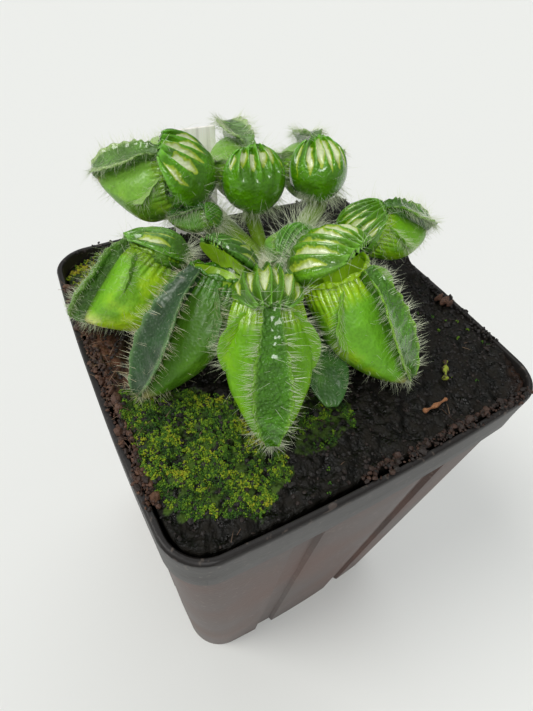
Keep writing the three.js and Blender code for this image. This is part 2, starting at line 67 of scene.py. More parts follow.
def set_camera():
    """The camera stands where the photograph was taken from, above the pot's front corner."""
    data = bpy.data.cameras.new("camera")
    data.lens_unit = "MILLIMETERS"
    data.sensor_fit = "AUTO"
    data.sensor_width = 36
    data.lens = 22.067
    data.clip_start = 0.005
    camera = bpy.data.objects.new("camera", data)
    bpy.context.collection.objects.link(camera)
    right = Vector((0.873257, -0.479253, 0.087977))
    down = Vector((-0.309925, -0.685634, -0.658675))
    ahead = Vector((0.375992, 0.547926, -0.747267))
    turn = Matrix((right, -down, -ahead)).transposed().to_4x4()
    camera.matrix_world = Matrix.Translation(Vector((-46.54, -63.32, 72.94 + RIM)) * MM) @ turn
    bpy.context.scene.camera = camera


def sun(name, towards, strength, width, colour=(1, 1, 1), glints=True):
    data = bpy.data.lights.new(name, "SUN")
    data.energy = strength
    data.angle = math.radians(width)
    data.color = colour
    light = bpy.data.objects.new(name, data)
    light.rotation_euler = Vector(towards).to_track_quat("Z", "Y").to_euler()
    light.visible_glossy = glints
    bpy.context.collection.objects.link(light)


def set_studio():
    """A pale room: a window on the left, light from the ceiling, and walls too dull to mirror."""
    world = bpy.data.worlds.new("studio")
    world.use_nodes = True
    tree = world.node_tree
    backdrop = set_inputs(tree.nodes["Background"], Color=(0.96, 0.98, 1.0, 1))
    mirrored = add(tree, "ShaderNodeLightPath").outputs["Is Glossy Ray"]
    join_nodes(tree, change(tree, mirrored, 0, 1, 0.27, 0.22), backdrop.inputs["Strength"])
    bpy.context.scene.world = world
    sun("window", (-0.75, 0.3, 1.0), 1.3, 26, (1.0, 0.99, 0.965))
    sun("ceiling", (0.35, 0.5, 1.0), 0.55, 50, (0.98, 0.99, 1.0))
    sun("room", (-0.5, -0.7, 0.75), 0.42, 60, (1.0, 1.0, 0.98), glints=False)
    sun("lamp", (-0.24, -0.55, 0.82), 0.8, 17)
    bpy.context.scene.view_settings.view_transform = "Standard"
    bpy.ops.mesh.primitive_plane_add(size=12, location=(0, 0, -0.0002))
    floor = bpy.context.object
    floor.name = "floor"
    paint, _, paper = new_material("floor_paper")
    set_inputs(paper, Base_Color=(0.83, 0.84, 0.815, 1), Roughness=1.0, Specular_IOR_Level=0.0)
    floor.data.materials.append(paint)
    pick()


# ------------------------------------------------------------------ small maths

def vec(x, y, z):
    return Vector((x, y, z))


def mix(a, b, t):
    return a + (b - a) * t


def smooth(t, low, high):
    u = min(max((t - low) / (high - low), 0.0), 1.0)
    return u * u * (3 - 2 * u)


def hill(t, middle, reach):
    return math.exp(-((t - middle) / reach) ** 2)


def ripple(place, size, seed=0.0):
    """A soft random height between about -1 and 1, the same on each run."""
    return noise.noise(Vector(place) / size + Vector((seed, seed * 1.7, -seed)))


def profile(rows, column, t):
    """A smooth value at t from rows of (t, a, b, ...)."""
    i = 0
    while i < len(rows) - 2 and t > rows[i + 1][0]:
        i += 1
    a, b = rows[i], rows[i + 1]
    before = rows[max(i - 1, 0)]
    after = rows[min(i + 2, len(rows) - 1)]
    u = min(max((t - a[0]) / (b[0] - a[0]), 0), 1)
    slope_a = (b[column] - before[column]) / (b[0] - before[0]) * (b[0] - a[0])
    slope_b = (after[column] - a[column]) / (after[0] - a[0]) * (b[0] - a[0])
    u2, u3 = u * u, u * u * u
    return ((2 * u3 - 3 * u2 + 1) * a[column] + (u3 - 2 * u2 + u) * slope_a
            + (3 * u2 - 2 * u3) * b[column] + (u3 - u2) * slope_b)


def between(p, u):
    """A smooth curve from p[1] at u = 0 to p[2] at u = 1, bent by the points before and after."""
    return 0.5 * (p[1] * 2 + (p[2] - p[0]) * u + (p[0] * 2 - p[1] * 5 + p[2] * 4 - p[3]) * u * u
                  + (p[1] * 3 - p[0] - p[2] * 3 + p[3]) * u * u * u)


def smooth_loop(points, count):
    """A closed smooth outline through the points, with count points."""
    out = []
    n = len(points)
    for k in range(count):
        s = k / count * n
        i = int(s)
        near = [points[(i + d) % n] for d in (-1, 0, 1, 2)]
        out.append(tuple(between([p[c] for p in near], s - i) for c in range(2)))
    return out


def curve_points(points, count):
    """Points evenly counted along a smooth curve through the given ones, with directions."""
    out = []
    n = len(points) - 1
    for k in range(count + 1):
        s = k / count * n
        i = min(int(s), n - 1)
        p = [points[min(max(i + d, 0), n)] for d in (-1, 0, 1, 2)]
        if i == 0:
            p[0] = points[0] * 2 - points[1]
        if i == n - 1:
            p[3] = points[n] * 2 - points[n - 1]
        out.append(between(p, s - i))
    ways = [(out[min(k + 1, count)] - out[max(k - 1, 0)]).normalized() for k in range(count + 1)]
    return out, ways


# ------------------------------------------------------------------ making and finishing pieces

def shaped_sheet(name, columns, rows, place, look=None):
    """A grid primitive whose points are laid out by place(u, v), in mm. Its UV map is (u, v)."""
    bpy.ops.mesh.primitive_grid_add(x_subdivisions=columns, y_subdivisions=rows, size=2)
    sheet = bpy.context.object
    sheet.name = name
    for v in sheet.data.vertices:
        v.co = place((v.co.x + 1) / 2, (v.co.y + 1) / 2)
    if look:
        sheet.data.materials.append(look)
    return sheet


def pick(*pieces):
    """Selects these pieces and no others, with the first one active."""
    bpy.ops.object.select_all(action="DESELECT")
    for piece in pieces:
        piece.select_set(True)
    if pieces:
        bpy.context.view_layer.objects.active = pieces[0]


def close_seams(piece, gap=SEAM_GAP):
    pick(piece)
    bpy.ops.object.mode_set(mode="EDIT")
    bpy.ops.mesh.select_all(action="SELECT")
    bpy.ops.mesh.remove_doubles(threshold=gap)
    bpy.ops.mesh.select_all(action="SELECT")
    bpy.ops.mesh.normals_make_consistent(inside=False)
    bpy.ops.object.mode_set(mode="OBJECT")
    bpy.ops.object.shade_smooth()
    pick()


def close_ends(sheet):
    """Closes the two open ends of a tube that a sheet was bent into, after its seam."""
    pick(sheet)
    bpy.ops.object.mode_set(mode="EDIT")
    bpy.ops.mesh.select_all(action="SELECT")
    bpy.ops.mesh.remove_doubles(threshold=SEAM_GAP)
    bpy.ops.mesh.select_all(action="DESELECT")
    bpy.ops.mesh.select_non_manifold()
    bpy.ops.mesh.edge_face_add()
    bpy.ops.object.mode_set(mode="OBJECT")
    pick()
    return sheet


def join_into(name, sheets):
    pick(*sheets)
    bpy.ops.object.join()
    piece = bpy.context.object
    piece.name = name
    pick()
    return piece


def apply_modifier(piece, name, kind, **values):
    modifier = piece.modifiers.new(name, kind)
    for key, value in values.items():
        setattr(modifier, key, value)
    bpy.context.view_layer.objects.active = piece
    bpy.ops.object.modifier_apply(modifier=modifier.name)


def smooth_below(piece, degrees):
    pick(piece)
    bpy.ops.object.shade_smooth_by_angle(angle=math.radians(degrees))


def new_values(mesh, name="edge"):
    """A value for each point of the mesh, which its material reads."""
    return mesh.attributes.new(name, "FLOAT", "POINT")


def mesh_piece(name, points, faces, look, values, kind="edge"):
    mesh = bpy.data.meshes.new(name)
    mesh.from_pydata(points, [], faces)
    mesh.materials.append(look)
    new_values(mesh, kind).data.foreach_set("value", values)
    piece = bpy.data.objects.new(name, mesh)
    bpy.context.collection.objects.link(piece)
    return piece


def keep_inside(piece):
    """No point stands outside the solids' own box."""
    low, high = [Vector(c) / MM for c in CAD_BOX]
    for v in piece.data.vertices:
        for k in range(3):
            v.co[k] = min(max(v.co[k], low[k] + 0.05), high[k] - 0.05)


def finish_piece(piece, slot, *nodes):
    keep_inside(piece)
    piece.data.transform(Matrix.Scale(MM, 4))
    piece.data.update()
    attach(piece, "root")
    if nodes:
        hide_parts(*nodes)
    return piece


# ------------------------------------------------------------------ materials

def new_material(name):
    look = bpy.data.materials.new(name)
    look.use_nodes = True
    tree = look.node_tree
    return look, tree, tree.nodes["Principled BSDF"]


def add(tree, kind, **values):
    node = tree.nodes.new(kind)
    for key, value in values.items():
        setattr(node, key, value)
    return node


def join_nodes(tree, source, target):
    tree.links.new(source, target)


def set_inputs(node, **values):
    """Sets a node's inputs. An underscore stands for a space in an input's name."""
    for key, value in values.items():
        node.inputs[key.replace("_", " ")].default_value = value
    return node


def new_group(name, inputs, outputs):
    """A group of shader nodes that takes and gives numbers."""
    group = bpy.data.node_groups.new(name, "ShaderNodeTree")
    for label, value in inputs.items():
        socket = group.interface.new_socket(name=label, in_out="INPUT", socket_type="NodeSocketFloat")
        socket.default_value = value
    for label in outputs:
        group.interface.new_socket(name=label, in_out="OUTPUT", socket_type="NodeSocketFloat")
    return group, add(group, "NodeGroupInput").outputs, add(group, "NodeGroupOutput").inputs


def use_group(tree, group, **values):
    return set_inputs(add(tree, "ShaderNodeGroup", node_tree=group), **values).outputs


def maths(tree, operation, a, b=None, clamp=False):
    node = add(tree, "ShaderNodeMath", operation=operation, use_clamp=clamp)
    for i, value in enumerate([a, b]):
        if isinstance(value, (int, float)):
            node.inputs[i].default_value = value
        elif value is not None:
            join_nodes(tree, value, node.inputs[i])
    return node.outputs[0]


def plus(tree, a, b):
    return maths(tree, "ADD", a, b)


def minus(tree, a, b):
    return maths(tree, "SUBTRACT", a, b)


def times(tree, a, b, clamp=False):
    return maths(tree, "MULTIPLY", a, b, clamp)


def blend_colour(tree, amount, a, b):
    node = add(tree, "ShaderNodeMix", data_type="RGBA")
    if isinstance(amount, (int, float)):
        node.inputs["Factor"].default_value = amount
    else:
        join_nodes(tree, amount, node.inputs["Factor"])
    for key, value in (("A", a), ("B", b)):
        socket = next(s for s in node.inputs if s.name == key and s.type == "RGBA")
        if isinstance(value, tuple):
            socket.default_value = (*value, 1)
        else:
            join_nodes(tree, value, socket)
    return next(s for s in node.outputs if s.type == "RGBA")


def layers(tree, base, *coats):
    """Colours laid over one another, each by its own mask."""
    for mask, colour in coats:
        base = blend_colour(tree, mask, base, colour)
    return base


def shade(colour, factor, lift=0.0):
    return tuple(min(c * factor + lift, 1) for c in colour)


def change(tree, source, low, high, start, stop):
    """A straight change from start to stop while the source goes from low to high."""
    node = set_inputs(add(tree, "ShaderNodeMapRange"), From_Min=low, From_Max=high, To_Min=start, To_Max=stop)
    join_nodes(tree, source, node.inputs["Value"])
    return node.outputs["Result"]


def ramp(tree, source, low, high):
    """A soft step from 0 to 1 while the source goes from low to high."""
    node = add(tree, "ShaderNodeMapRange", interpolation_type="SMOOTHSTEP")
    set_inputs(node, From_Min=low, From_Max=high)
    join_nodes(tree, source, node.inputs["Value"])
    return node.outputs["Result"]


def coordinates(tree, kind="Object"):
    return add(tree, "ShaderNodeTexCoord").outputs[kind]


def axes(tree, kind):
    split = add(tree, "ShaderNodeSeparateXYZ")
    join_nodes(tree, coordinates(tree, kind), split.inputs["Vector"])
    return split.outputs


def stretched(tree, kind, scale, turn=(0, 0, 0)):
    node = set_inputs(add(tree, "ShaderNodeMapping"), Scale=scale, Rotation=turn)
    join_nodes(tree, coordinates(tree, kind), node.inputs["Vector"])
    return node.outputs["Vector"]


def own_value(tree, name="edge"):
    """A value that each point of the piece carries."""
    return add(tree, "ShaderNodeAttribute", attribute_name=name).outputs["Fac"]


def noise_on(tree, scale, detail=2.0, place=None):
    """A noise on the piece's own coordinates, or on the place given."""
    node = set_inputs(add(tree, "ShaderNodeTexNoise"), Detail=detail)
    if isinstance(scale, (int, float)):
        node.inputs["Scale"].default_value = scale
    else:
        join_nodes(tree, scale, node.inputs["Scale"])
    join_nodes(tree, coordinates(tree) if place is None else place, node.inputs["Vector"])
    return node.outputs["Fac"]


def cells_on(tree, scale):
    node = add(tree, "ShaderNodeTexVoronoi")
    if isinstance(scale, (int, float)):
        node.inputs["Scale"].default_value = scale
    else:
        join_nodes(tree, scale, node.inputs["Scale"])
    join_nodes(tree, coordinates(tree), node.inputs["Vector"])
    return node.outputs["Distance"]


def add_relief(tree, skin, height, strength, distance):
    bump = set_inputs(add(tree, "ShaderNodeBump"), Strength=strength, Distance=distance)
    join_nodes(tree, height, bump.inputs["Height"])
    join_nodes(tree, bump.outputs["Normal"], skin.inputs["Normal"])


def make_leaf_grain():
    """Living skin: cloudy tone, fine cells and small wet blisters."""
    group, start, end = new_group("leaf_grain", {"Cell Size": 0.0006, "Blister Size": 0.0016},
                                  ("Cloud", "Cells", "Height"))
    cells = cells_on(group, maths(group, "DIVIDE", 1.0, start["Cell Size"]))
    blisters = noise_on(group, maths(group, "DIVIDE", 1.0, start["Blister Size"]), 1.5)
    join_nodes(group, noise_on(group, 210, 3), end["Cloud"])
    join_nodes(group, cells, end["Cells"])
    join_nodes(group, plus(group, times(group, cells, 0.35), blisters), end["Height"])
    return group


def make_lid_windows():
    """Pale windows between a lid's ribs: long ovals of uneven length that taper to one end."""
    group, start, end = new_group(
        "lid_windows", {"Ribs": 7.0, "Begin": 0.1, "End": 0.55, "Width": 0.5, "Taper": 0.0, "Seed": 0.0},
        ("Window", "Rib", "Open"))
    uv = axes(group, "UV")
    sway = minus(group, noise_on(group, 420), 0.5)
    place = times(group, plus(group, uv["X"], times(group, sway, 0.08)), start["Ribs"])
    along = plus(group, uv["Y"], times(group, sway, 0.2))
    # two numbers by chance for each window
    turn = plus(group, times(group, maths(group, "FLOOR", place), 12.9898), start["Seed"])
    jumble = times(group, maths(group, "SINE", turn), 43.7585)
    chance = maths(group, "FRACT", maths(group, "ABSOLUTE", jumble))
    other = maths(group, "FRACT", times(group, chance, 7.31))
    # where it begins and ends, and how wide it is there
    early = plus(group, start["Begin"], times(group, other, 0.2))
    late = minus(group, start["End"], times(group, chance, 0.2))
    share = maths(group, "DIVIDE", minus(group, along, early), minus(group, late, early), True)
    round_ends = times(group, times(group, share, minus(group, 1.0, share)), 4.0)
    oval = maths(group, "POWER", round_ends, 0.45)
    lean = plus(group, 1.0, times(group, start["Taper"], minus(group, share, 0.5)))
    width = times(group, start["Width"], plus(group, 0.32, times(group, other, 0.42)))
    half = times(group, times(group, oval, lean), width)
    inward = maths(group, "MINIMUM", place, minus(group, start["Ribs"], place))
    half = times(group, half, ramp(group, inward, -0.4, 1.4))
    middle = maths(group, "ABSOLUTE", minus(group, maths(group, "FRACT", place), 0.5))
    join_nodes(group, times(group, minus(group, half, middle), 4.5, True), end["Window"])
    join_nodes(group, share, end["Open"])
    join_nodes(group, times(group, middle, 2.0), end["Rib"])
    return group


def make_speckle():
    """Scattered grains, such as dust on plastic."""
    group, start, end = new_group("speckle", {"Scale": 900.0, "Amount": 0.2}, ("Mask", "Soft"))
    patches = noise_on(group, 60)
    level = minus(group, 0.78, times(group, start["Amount"], 0.5))
    hard = times(group, minus(group, noise_on(group, start["Scale"]), level), 14.0, True)
    join_nodes(group, times(group, hard, patches), end["Mask"])
    join_nodes(group, patches, end["Soft"])
    return group


LEAF_GRAIN = make_leaf_grain()
LID_WINDOWS = make_lid_windows()
SPECKLE = make_speckle()


def leaf_shader(name, roughness, coat, bump, flesh=0.08, distance=0.0005, coat_roughness=0.1):
    """Living skin that waits for its colour."""
    look, tree, skin = new_material(name)
    set_inputs(skin, Roughness=roughness, Coat_Weight=coat, Coat_Roughness=coat_roughness,
               Specular_IOR_Level=0.32, Subsurface_Weight=flesh, Subsurface_Radius=(0.9, 1.4, 0.35),
               Subsurface_Scale=0.0008)
    grain = use_group(tree, LEAF_GRAIN)
    add_relief(tree, skin, grain["Height"], bump, distance)
    return look, tree, skin, grain


def wet_patches(tree, grain, skin, dry, wet):
    """The gloss comes and goes with the clouds of tone."""
    join_nodes(tree, change(tree, grain["Cloud"], 0.4, 0.62, dry, wet), skin.inputs["Roughness"])


def cloudy(tree, grain, colour, dim):
    return blend_colour(tree, ramp(tree, grain["Cloud"], 0.35, 0.7), shade(colour, dim), colour)


def cup_skin(name, panel, belly, glow, bead, tip=None, shine=None):
    """A cup's wall: a matte panel at its front, and glossier yellow-green round its belly, with clouds
    of painted light in its glow colour there. Below the height that shine gives, soft patches of
    painted light stand in for light from the far side glowing through it."""
    look, tree, skin, grain = leaf_shader(name, 0.38, 0.12, 0.5)
    uv = axes(tree, "UV")
    back = minus(tree, 0.5, maths(tree, "ABSOLUTE", minus(tree, uv["X"], 0.5)))
    under = ramp(tree, back, 0.1, 0.33)
    # Painted light: clouds of the glow colour round the belly.
    light = times(tree, ramp(tree, grain["Cloud"], 0.42, 0.68), under)
    dim = times(tree, ramp(tree, grain["Cloud"], 0.55, 0.3), 0.45)
    cells = times(tree, grain["Cells"], 0.35)
    wall = layers(tree, panel, (under, belly), (light, glow), (dim, shade(panel, 0.55)),
                  (cells, shade(panel, 1.7)))
    # Painted light: below the shine height, the glow colour and pale patches.
    if shine:
        lower = ramp(tree, axes(tree, "Object")["Z"], shine + 0.003, shine - 0.002)
        pale = times(tree, lower, ramp(tree, noise_on(tree, 170), 0.5, 0.6))
        wall = layers(tree, wall, (lower, glow), (times(tree, pale, 0.9), (0.94, 0.97, 0.36)))
    wall = layers(tree, wall, (own_value(tree), bead))
    if tip:
        wall = layers(tree, wall, (times(tree, ramp(tree, uv["Y"], 0.06, 0.0), 0.8), tip))
    join_nodes(tree, wall, skin.inputs["Base Color"])
    wet_patches(tree, grain, skin, 0.46, 0.26)
    return look


def wing_skin(name, middle, edge):
    """The broad wing: dark, blistered and wet in its middle, with paler thick edges."""
    coat, coat_roughness, relief, dry, wet = 1.0, 0.1, 0.0012, 0.3, 0.12
    if "dark" in name:
        coat, coat_roughness, relief, dry, wet = 0.5, 0.28, 0.0005, 0.4, 0.24
    look, tree, skin, grain = leaf_shader(name, 0.22, coat, 1.0, 0.06, relief, coat_roughness)
    both = blend_colour(tree, own_value(tree), cloudy(tree, grain, middle, 0.6), edge)
    join_nodes(tree, both, skin.inputs["Base Color"])
    wet_patches(tree, grain, skin, dry, wet)
    return look


def lid_skin(name, green, window, ribs, windows, seed):
    """Windows are (begin, end, width, taper, strength), with the lid's hinge at 0 and lip at 1."""
    look, tree, skin, grain = leaf_shader(name, 0.3, 1.0, 0.9)
    begin, last, width, taper, strength = windows
    marks = use_group(tree, LID_WINDOWS, Ribs=ribs, Begin=begin, End=last, Width=width, Taper=taper,
                      Seed=seed)
    cream = blend_colour(tree, grain["Cloud"], shade(window, 0.8), window)
    pale = blend_colour(tree, ramp(tree, marks["Open"], 0.05, 0.5), (0.42, 0.54, 0.05), cream)
    # Painted highlight: the rib crests between the windows are lightened, standing in for the light they
    # catch.
    ridge = times(tree, ramp(tree, marks["Rib"], 0.6, 1.0), ramp(tree, marks["Open"], 0.0, 0.3))
    rim = times(tree, ramp(tree, marks["Window"], 0.0, 0.35), strength)
    inner = times(tree, ramp(tree, marks["Window"], 0.35, 0.95), strength)
    colour = layers(tree, cloudy(tree, grain, green, 0.62), (times(tree, ridge, 0.4), shade(green, 1.7)),
                    (rim, (0.36, 0.5, 0.02)), (inner, pale), (own_value(tree), shade(green, 1.7, 0.04)))
    join_nodes(tree, colour, skin.inputs["Base Color"])
    wet_patches(tree, grain, skin, 0.36, 0.16)
    return look


def collar_skin(name, bead, furrow_shade):
    look, tree, skin, _ = leaf_shader(name, 0.18, 1.0, 0.9)
    # Painted shade: the furrows between the collar's ribs take a darker copy of the bead colour.
    join_nodes(tree, blend_colour(tree, own_value(tree), furrow_shade, bead), skin.inputs["Base Color"])
    return look


def throat_skin(name, colour, glow):
    """Thin tissue seen from within. Glow stands in for daylight that comes through it."""
    look, tree, skin, grain = leaf_shader(name, 0.3, 0.3, 0.3)
    thin = cloudy(tree, grain, colour, 0.6)
    join_nodes(tree, thin, skin.inputs["Base Color"])
    join_nodes(tree, thin, skin.inputs["Emission Color"])
    skin.inputs["Emission Strength"].default_value = glow
    return look


def stalk_skin(name, colour):
    look, tree, skin, grain = leaf_shader(name, 0.42, 0.15, 0.4)
    upward = ramp(tree, axes(tree, "UV")["Y"], 0.0, 0.7)
    dark = times(tree, grain["Cloud"], 0.4)
    join_nodes(tree, layers(tree, shade(colour, 1.25, 0.03), (upward, colour), (dark, shade(colour, 0.5))),
               skin.inputs["Base Color"])
    return look


def hair_skin():
    look, tree, skin = new_material("leaf_hair")
    set_inputs(skin, Roughness=0.35, Coat_Weight=0.2)
    colour = layers(tree, (0.74, 0.79, 0.6), (noise_on(tree, 120), (0.58, 0.64, 0.4)),
                    (own_value(tree), (0.6, 0.5, 0.28)))
    join_nodes(tree, colour, skin.inputs["Base Color"])
    return look


# ------------------------------------------------------------------ the pitchers' form

CUP_PROFILE = [
    (0, 1.2, 0.9, 0.9), (0.07, 3.0, 1.5, 3.2), (0.22, 5.6, 2.6, 6.0), (0.42, 7.9, 3.8, 7.8),
    (0.62, 8.7, 4.7, 7.9), (0.84, 7.5, 5.2, 6.6), (1, 6.2, 5.2, 5.2),
]
BAND_PROFILE = [
    (0, 1.0, 1.0), (0.12, 2.4, 1.8), (0.3, 3.2, 2.4), (0.5, 2.9, 2.7), (0.72, 2.0, 2.7),
    (1, 1.2, 1.8),
]
CROWN = vec(3, 11, 0)
CROWN_RADIUS = 5.0
CROWN_TOP = 7.5
SLANT = 0.5  # slope of a mouth, towards the front
COMB = 0.7  # how blunt the collar's combs are
LID_TOP = 0.62  # the share of a lid's sheet that is its upper side
LID_THICKNESS = 0.85


class Form:
    """The measures of one pitcher. Local z runs from its tip to its mouth, and y to its front."""

    def __init__(self, spec):
        self.spec = spec
        self.size = spec.get("width", 1.0)
        self.deep = spec.get("deep", 1.0)
        self.young = spec.get("young", False)
        self.ribs = spec.get("ribs", 7)
        self.combs = 17 if self.young else 30
        self.tip, self.mouth = Vector(spec["tip"]), Vector(spec["mouth"])
        self.length = (self.mouth - self.tip).length
        self.outward_up = vec(0, SLANT, 1).normalized()
        z = (self.mouth - self.tip).normalized()
        facing = Vector(spec["facing"])
        y = (facing - z * facing.dot(z)).normalized()
        turn = Matrix((y.cross(z), y, z)).transposed().to_4x4()
        self.place = Matrix.Translation(self.tip + vec(0, 0, RIM)) @ turn
        self.unplace = self.place.inverted()
        self.seed = 3.1 * abs(self.tip.x) + abs(self.tip.y)

    def wall(self, t, a, inset=0.0):
        w, front, back = [profile(CUP_PROFILE, column, t) * self.size for column in (1, 2, 3)]
        back *= mix(1, self.deep, math.sin(PI * t))
        y = ((front if math.cos(a) > 0 else back) - inset) * math.cos(a)
        return vec((w - inset) * math.sin(a), y, t * self.length - SLANT * y * smooth(t, 0.45, 1))

    def outward(self, a):
        return vec(math.sin(a), math.cos(a), -SLANT * math.cos(a)).normalized()

    def band_width(self, t):
        return profile(BAND_PROFILE, 1, t) * self.size * self.spec.get("band", 1.0)


def cup_place(form, outside, over):
    """Laid out from the tip up the outside, over the ribbed collar and, if open, down the inside."""
    size = form.size

    def comb_height(a):
        lumpy = 0.75 + 0.5 * abs(math.sin(2.7 * a + form.seed))
        return 0.46 * size * lumpy * (abs(math.cos(form.combs * a / 2)) ** COMB - 0.45)

    def on_wall(t, u, a):
        p = form.wall(t, a)
        swell = 0.16 * ripple(p, 3.0, form.seed) * smooth(t, 0.05, 0.3)
        seam = -0.25 * size * hill(abs(((u + 0.5) % 1) - 0.5), 0.16, 0.03) * smooth(t, 0.2, 0.6)
        drop = 0.74 + 0.04 * math.sin(5 * a + form.seed)
        comb = comb_height(a) * smooth(t, drop, drop + 0.12) * mix(1, 0.5, smooth(t, 0.93, 1))
        return p + form.outward(a) * (swell + seam + comb)

    def on_collar(s, a):
        comb = comb_height(a)
        turn = mix(-0.5 * PI, 0.95 * PI, s)
        out, high = 0.25 + 0.4 * math.cos(turn), 0.1 + 0.55 * math.sin(turn)
        blend = smooth(s, 0, 0.25)
        knob = 0.3 * math.sin(9 * a + 2 * form.seed) * math.sin(turn)
        sideways = out * size * blend + 0.5 * comb * max(math.cos(turn), 0.15)
        upward = (high * size + 0.25 * comb * max(math.sin(turn), 0) + knob) * blend
        return form.wall(1, a) + (form.outward(a) * sideways + form.outward_up * upward)

    def in_throat(s, a):
        lip = form.outward_up * (0.5 * size * (1 - smooth(s, 0, 0.2)))
        shrink = 1.0 if s < 0.999 else 0.0
        p = form.wall(mix(0.99, 0.22, s), a, mix(0.2, 1.0, smooth(s, 0, 0.15)))
        centre = vec(0, 0, p.z)
        return centre + (p - centre) * shrink + lip

    def place(u, v):
        a = u * 2 * PI
        if v <= outside:
            return form.place @ on_wall(v / outside, u, a)
        if v <= over:
            return form.place @ on_collar((v - outside) / (over - outside), a)
        return form.place @ in_throat((v - over) / (1 - over), a)

    return place


def make_cup(form, looks, open_cup):
    outside, over = (0.6, 0.78) if open_cup else (0.84, 1.0)
    columns, rows = (102, 60) if form.young else (180, 110 if open_cup else 84)
    cup = shaped_sheet("cup", columns, rows, cup_place(form, outside, over))
    for look in (looks["cup"], looks["collar"], looks["throat"]):
        cup.data.materials.append(look)
    uv = cup.data.uv_layers.active.data
    tone = new_values(cup.data)
    for poly in cup.data.polygons:
        v = sum(uv[i].uv.y for i in poly.loop_indices) / 4
        u = uv[poly.loop_start].uv.x
        start = (0.88 + 0.03 * math.sin(10 * PI * u + form.seed)) * outside
        poly.material_index = 0 if v < start else 1 if v < over else 2
        for i in poly.loop_indices:
            comb = abs(math.cos(form.combs * PI * uv[i].uv.x)) ** COMB
            value = mix(0.4, 1, comb) * smooth(v / outside, 0.76, 0.93)
            tone.data[cup.data.loops[i].vertex_index].value = value
    return cup


def make_lid(form, looks):
    spec = form.spec["lid"]
    shut = spec.get("shut", False)
    long, wide, high = spec["long"], spec["wide"], spec["high"]
    turned = math.radians(spec["open"])
    hinge = form.wall(1, PI) + vec(0, 0.2, 0.6 * form.size)
    forward = vec(0, 1, -SLANT).normalized()
    along = forward * math.cos(turned) + form.outward_up * math.sin(turned)
    normal = form.outward_up * math.cos(turned) - forward * math.sin(turned)

    def point(u, v, lower):
        across = u * 2 - 1
        full = 1 - across * across
        pleat = abs(math.sin(PI * form.ribs * u)) if abs(across) < 0.999 else 0
        rise = smooth(v, 0.45, 0.8) if spec.get("smooth") else smooth(v, 0.04, 0.3)
        half = wide * math.sqrt(1 - abs(1.84 * v - 0.92) ** 2.2)
        dome = high * max(full, 0) ** 0.6 * math.sin(PI * mix(0.12, 0.95, v) ** 0.9)
        if not (lower and shut):
            dome += spec.get("pleats", 1.1) * (0.5 - pleat ** 1.4) * rise * (1 - across ** 6)
        scallop = 0.6 * (0.5 - pleat) * smooth(v, 0.7, 1)
        sway = 0.35 * math.sin(5 * v + form.seed + 3 * across) * full * smooth(v, 0.1, 0.4)
        bow = full * (2 * v - 1)
        inset = 1
        if not lower:
            bumps = ripple(vec(half * across, v * long, 0), 1.1, form.seed) * smooth(v, 0.45, 0.85)
            height = dome + 0.16 * bumps - 0.5 * smooth(v, 0.86, 1)
        elif shut:
            height = -2.4
            inset = 0.94 - 0.24 * smooth(v, 0.5, 1)
        else:
            height = mix(-1.6, dome - LID_THICKNESS, smooth(v, 0, 0.35))
            inset = 0.94
        return form.place @ (
            hinge + vec((half * across + sway) * form.size * inset, 0, 0)
            + along * ((v * long - 1 + scallop + bow) * form.size * inset)
            + normal * (height * form.size))

    def place(u, v):
        """Across the top, then back across the underside."""
        if u <= LID_TOP:
            return point(u / LID_TOP, v, False)
        return point(1 - (u - LID_TOP) / (1 - LID_TOP), v, True)

    top = close_ends(shaped_sheet("lid", 84 if form.young else 150, 44, place))
    uv = top.data.uv_layers.active.data
    tone = new_values(top.data)
    for look in (looks["lid"], looks["under" if shut else "throat"]):
        top.data.materials.append(look)
    for poly in top.data.polygons:
        loops = list(poly.loop_indices)
        middle = sum(uv[i].uv.x for i in loops) / len(loops)
        poly.material_index = 0 if middle <= LID_TOP else 1
        for i in loops:
            u, v = uv[i].uv
            rim = max(smooth(v, 0.93, 0.985), 1 - smooth(min(u, LID_TOP - u), 0.0, 0.012))
            tone.data[top.data.loops[i].vertex_index].value = rim * 0.8
            uv[i].uv = (min(u / LID_TOP, 1.0), v)
    return top


def make_band(form, looks):
    """The broad wing down a cup's front: a T in section, with ruffled edges."""
    beak, lift = form.spec.get("beak", 0.0), form.spec.get("lift", 0.0)
    around = 24 if form.young else 40

    def section(t):
        raised = beak * (1 - smooth(t, 0, 0.5))
        half = form.band_width(t) + raised * 0.5
        high = (profile(BAND_PROFILE, 2, t) + lift * math.sin(PI * t)) * form.size + raised
        neck = min(0.7, half * 0.5)
        outline = [
            (-half, high + 0.45), (-half * 0.72, high + 0.1), (0, high - 0.15), (half * 0.72, high + 0.1),
            (half, high + 0.45), (half * 1.02, high - 0.1), (half * 0.6, high - 0.75),
            (neck, high - 1.2), (neck, -1.2), (-neck, -1.2), (-neck, high - 1.2),
            (-half * 0.6, high - 0.75), (-half * 1.02, high - 0.1),
        ]
        return smooth_loop(outline, around), -raised * 0.8

    def place(u, v):
        outline, far = section(v)
        x, out = outline[int(round(u * around)) % around]
        base = form.wall(v, 0)
        p = vec(base.x + x, base.y + out, base.z + (far if out > 0 else 0))
        bumpy = ripple(p, 1.3, form.seed) * 0.2 + ripple(p, 0.6, 4) * 0.08
        ridge = smooth(abs(x), 0.6, 1.8) * 0.28 * math.sin(v * 44 + form.seed + (2 if x > 0 else 0))
        if out > 0.2:
            p += vec(0.6 * ridge * (1 if x > 0 else -1), bumpy + 0.4 * ridge, 0)
        return form.place @ p

    wing = close_ends(shaped_sheet("wing", around, 40 if form.young else 70, place, looks["wing"]))
    mark_edges(wing, form, lambda p, t: smooth(
        abs(p.x), form.band_width(t) * 0.7, form.band_width(t) * 1.05))
    return wing


def mark_edges(sheet, form, amount):
    tone = new_values(sheet.data)
    for v in sheet.data.vertices:
        p = form.unplace @ v.co
        tone.data[v.index].value = amount(p, min(max(p.z / form.length, 0), 1))


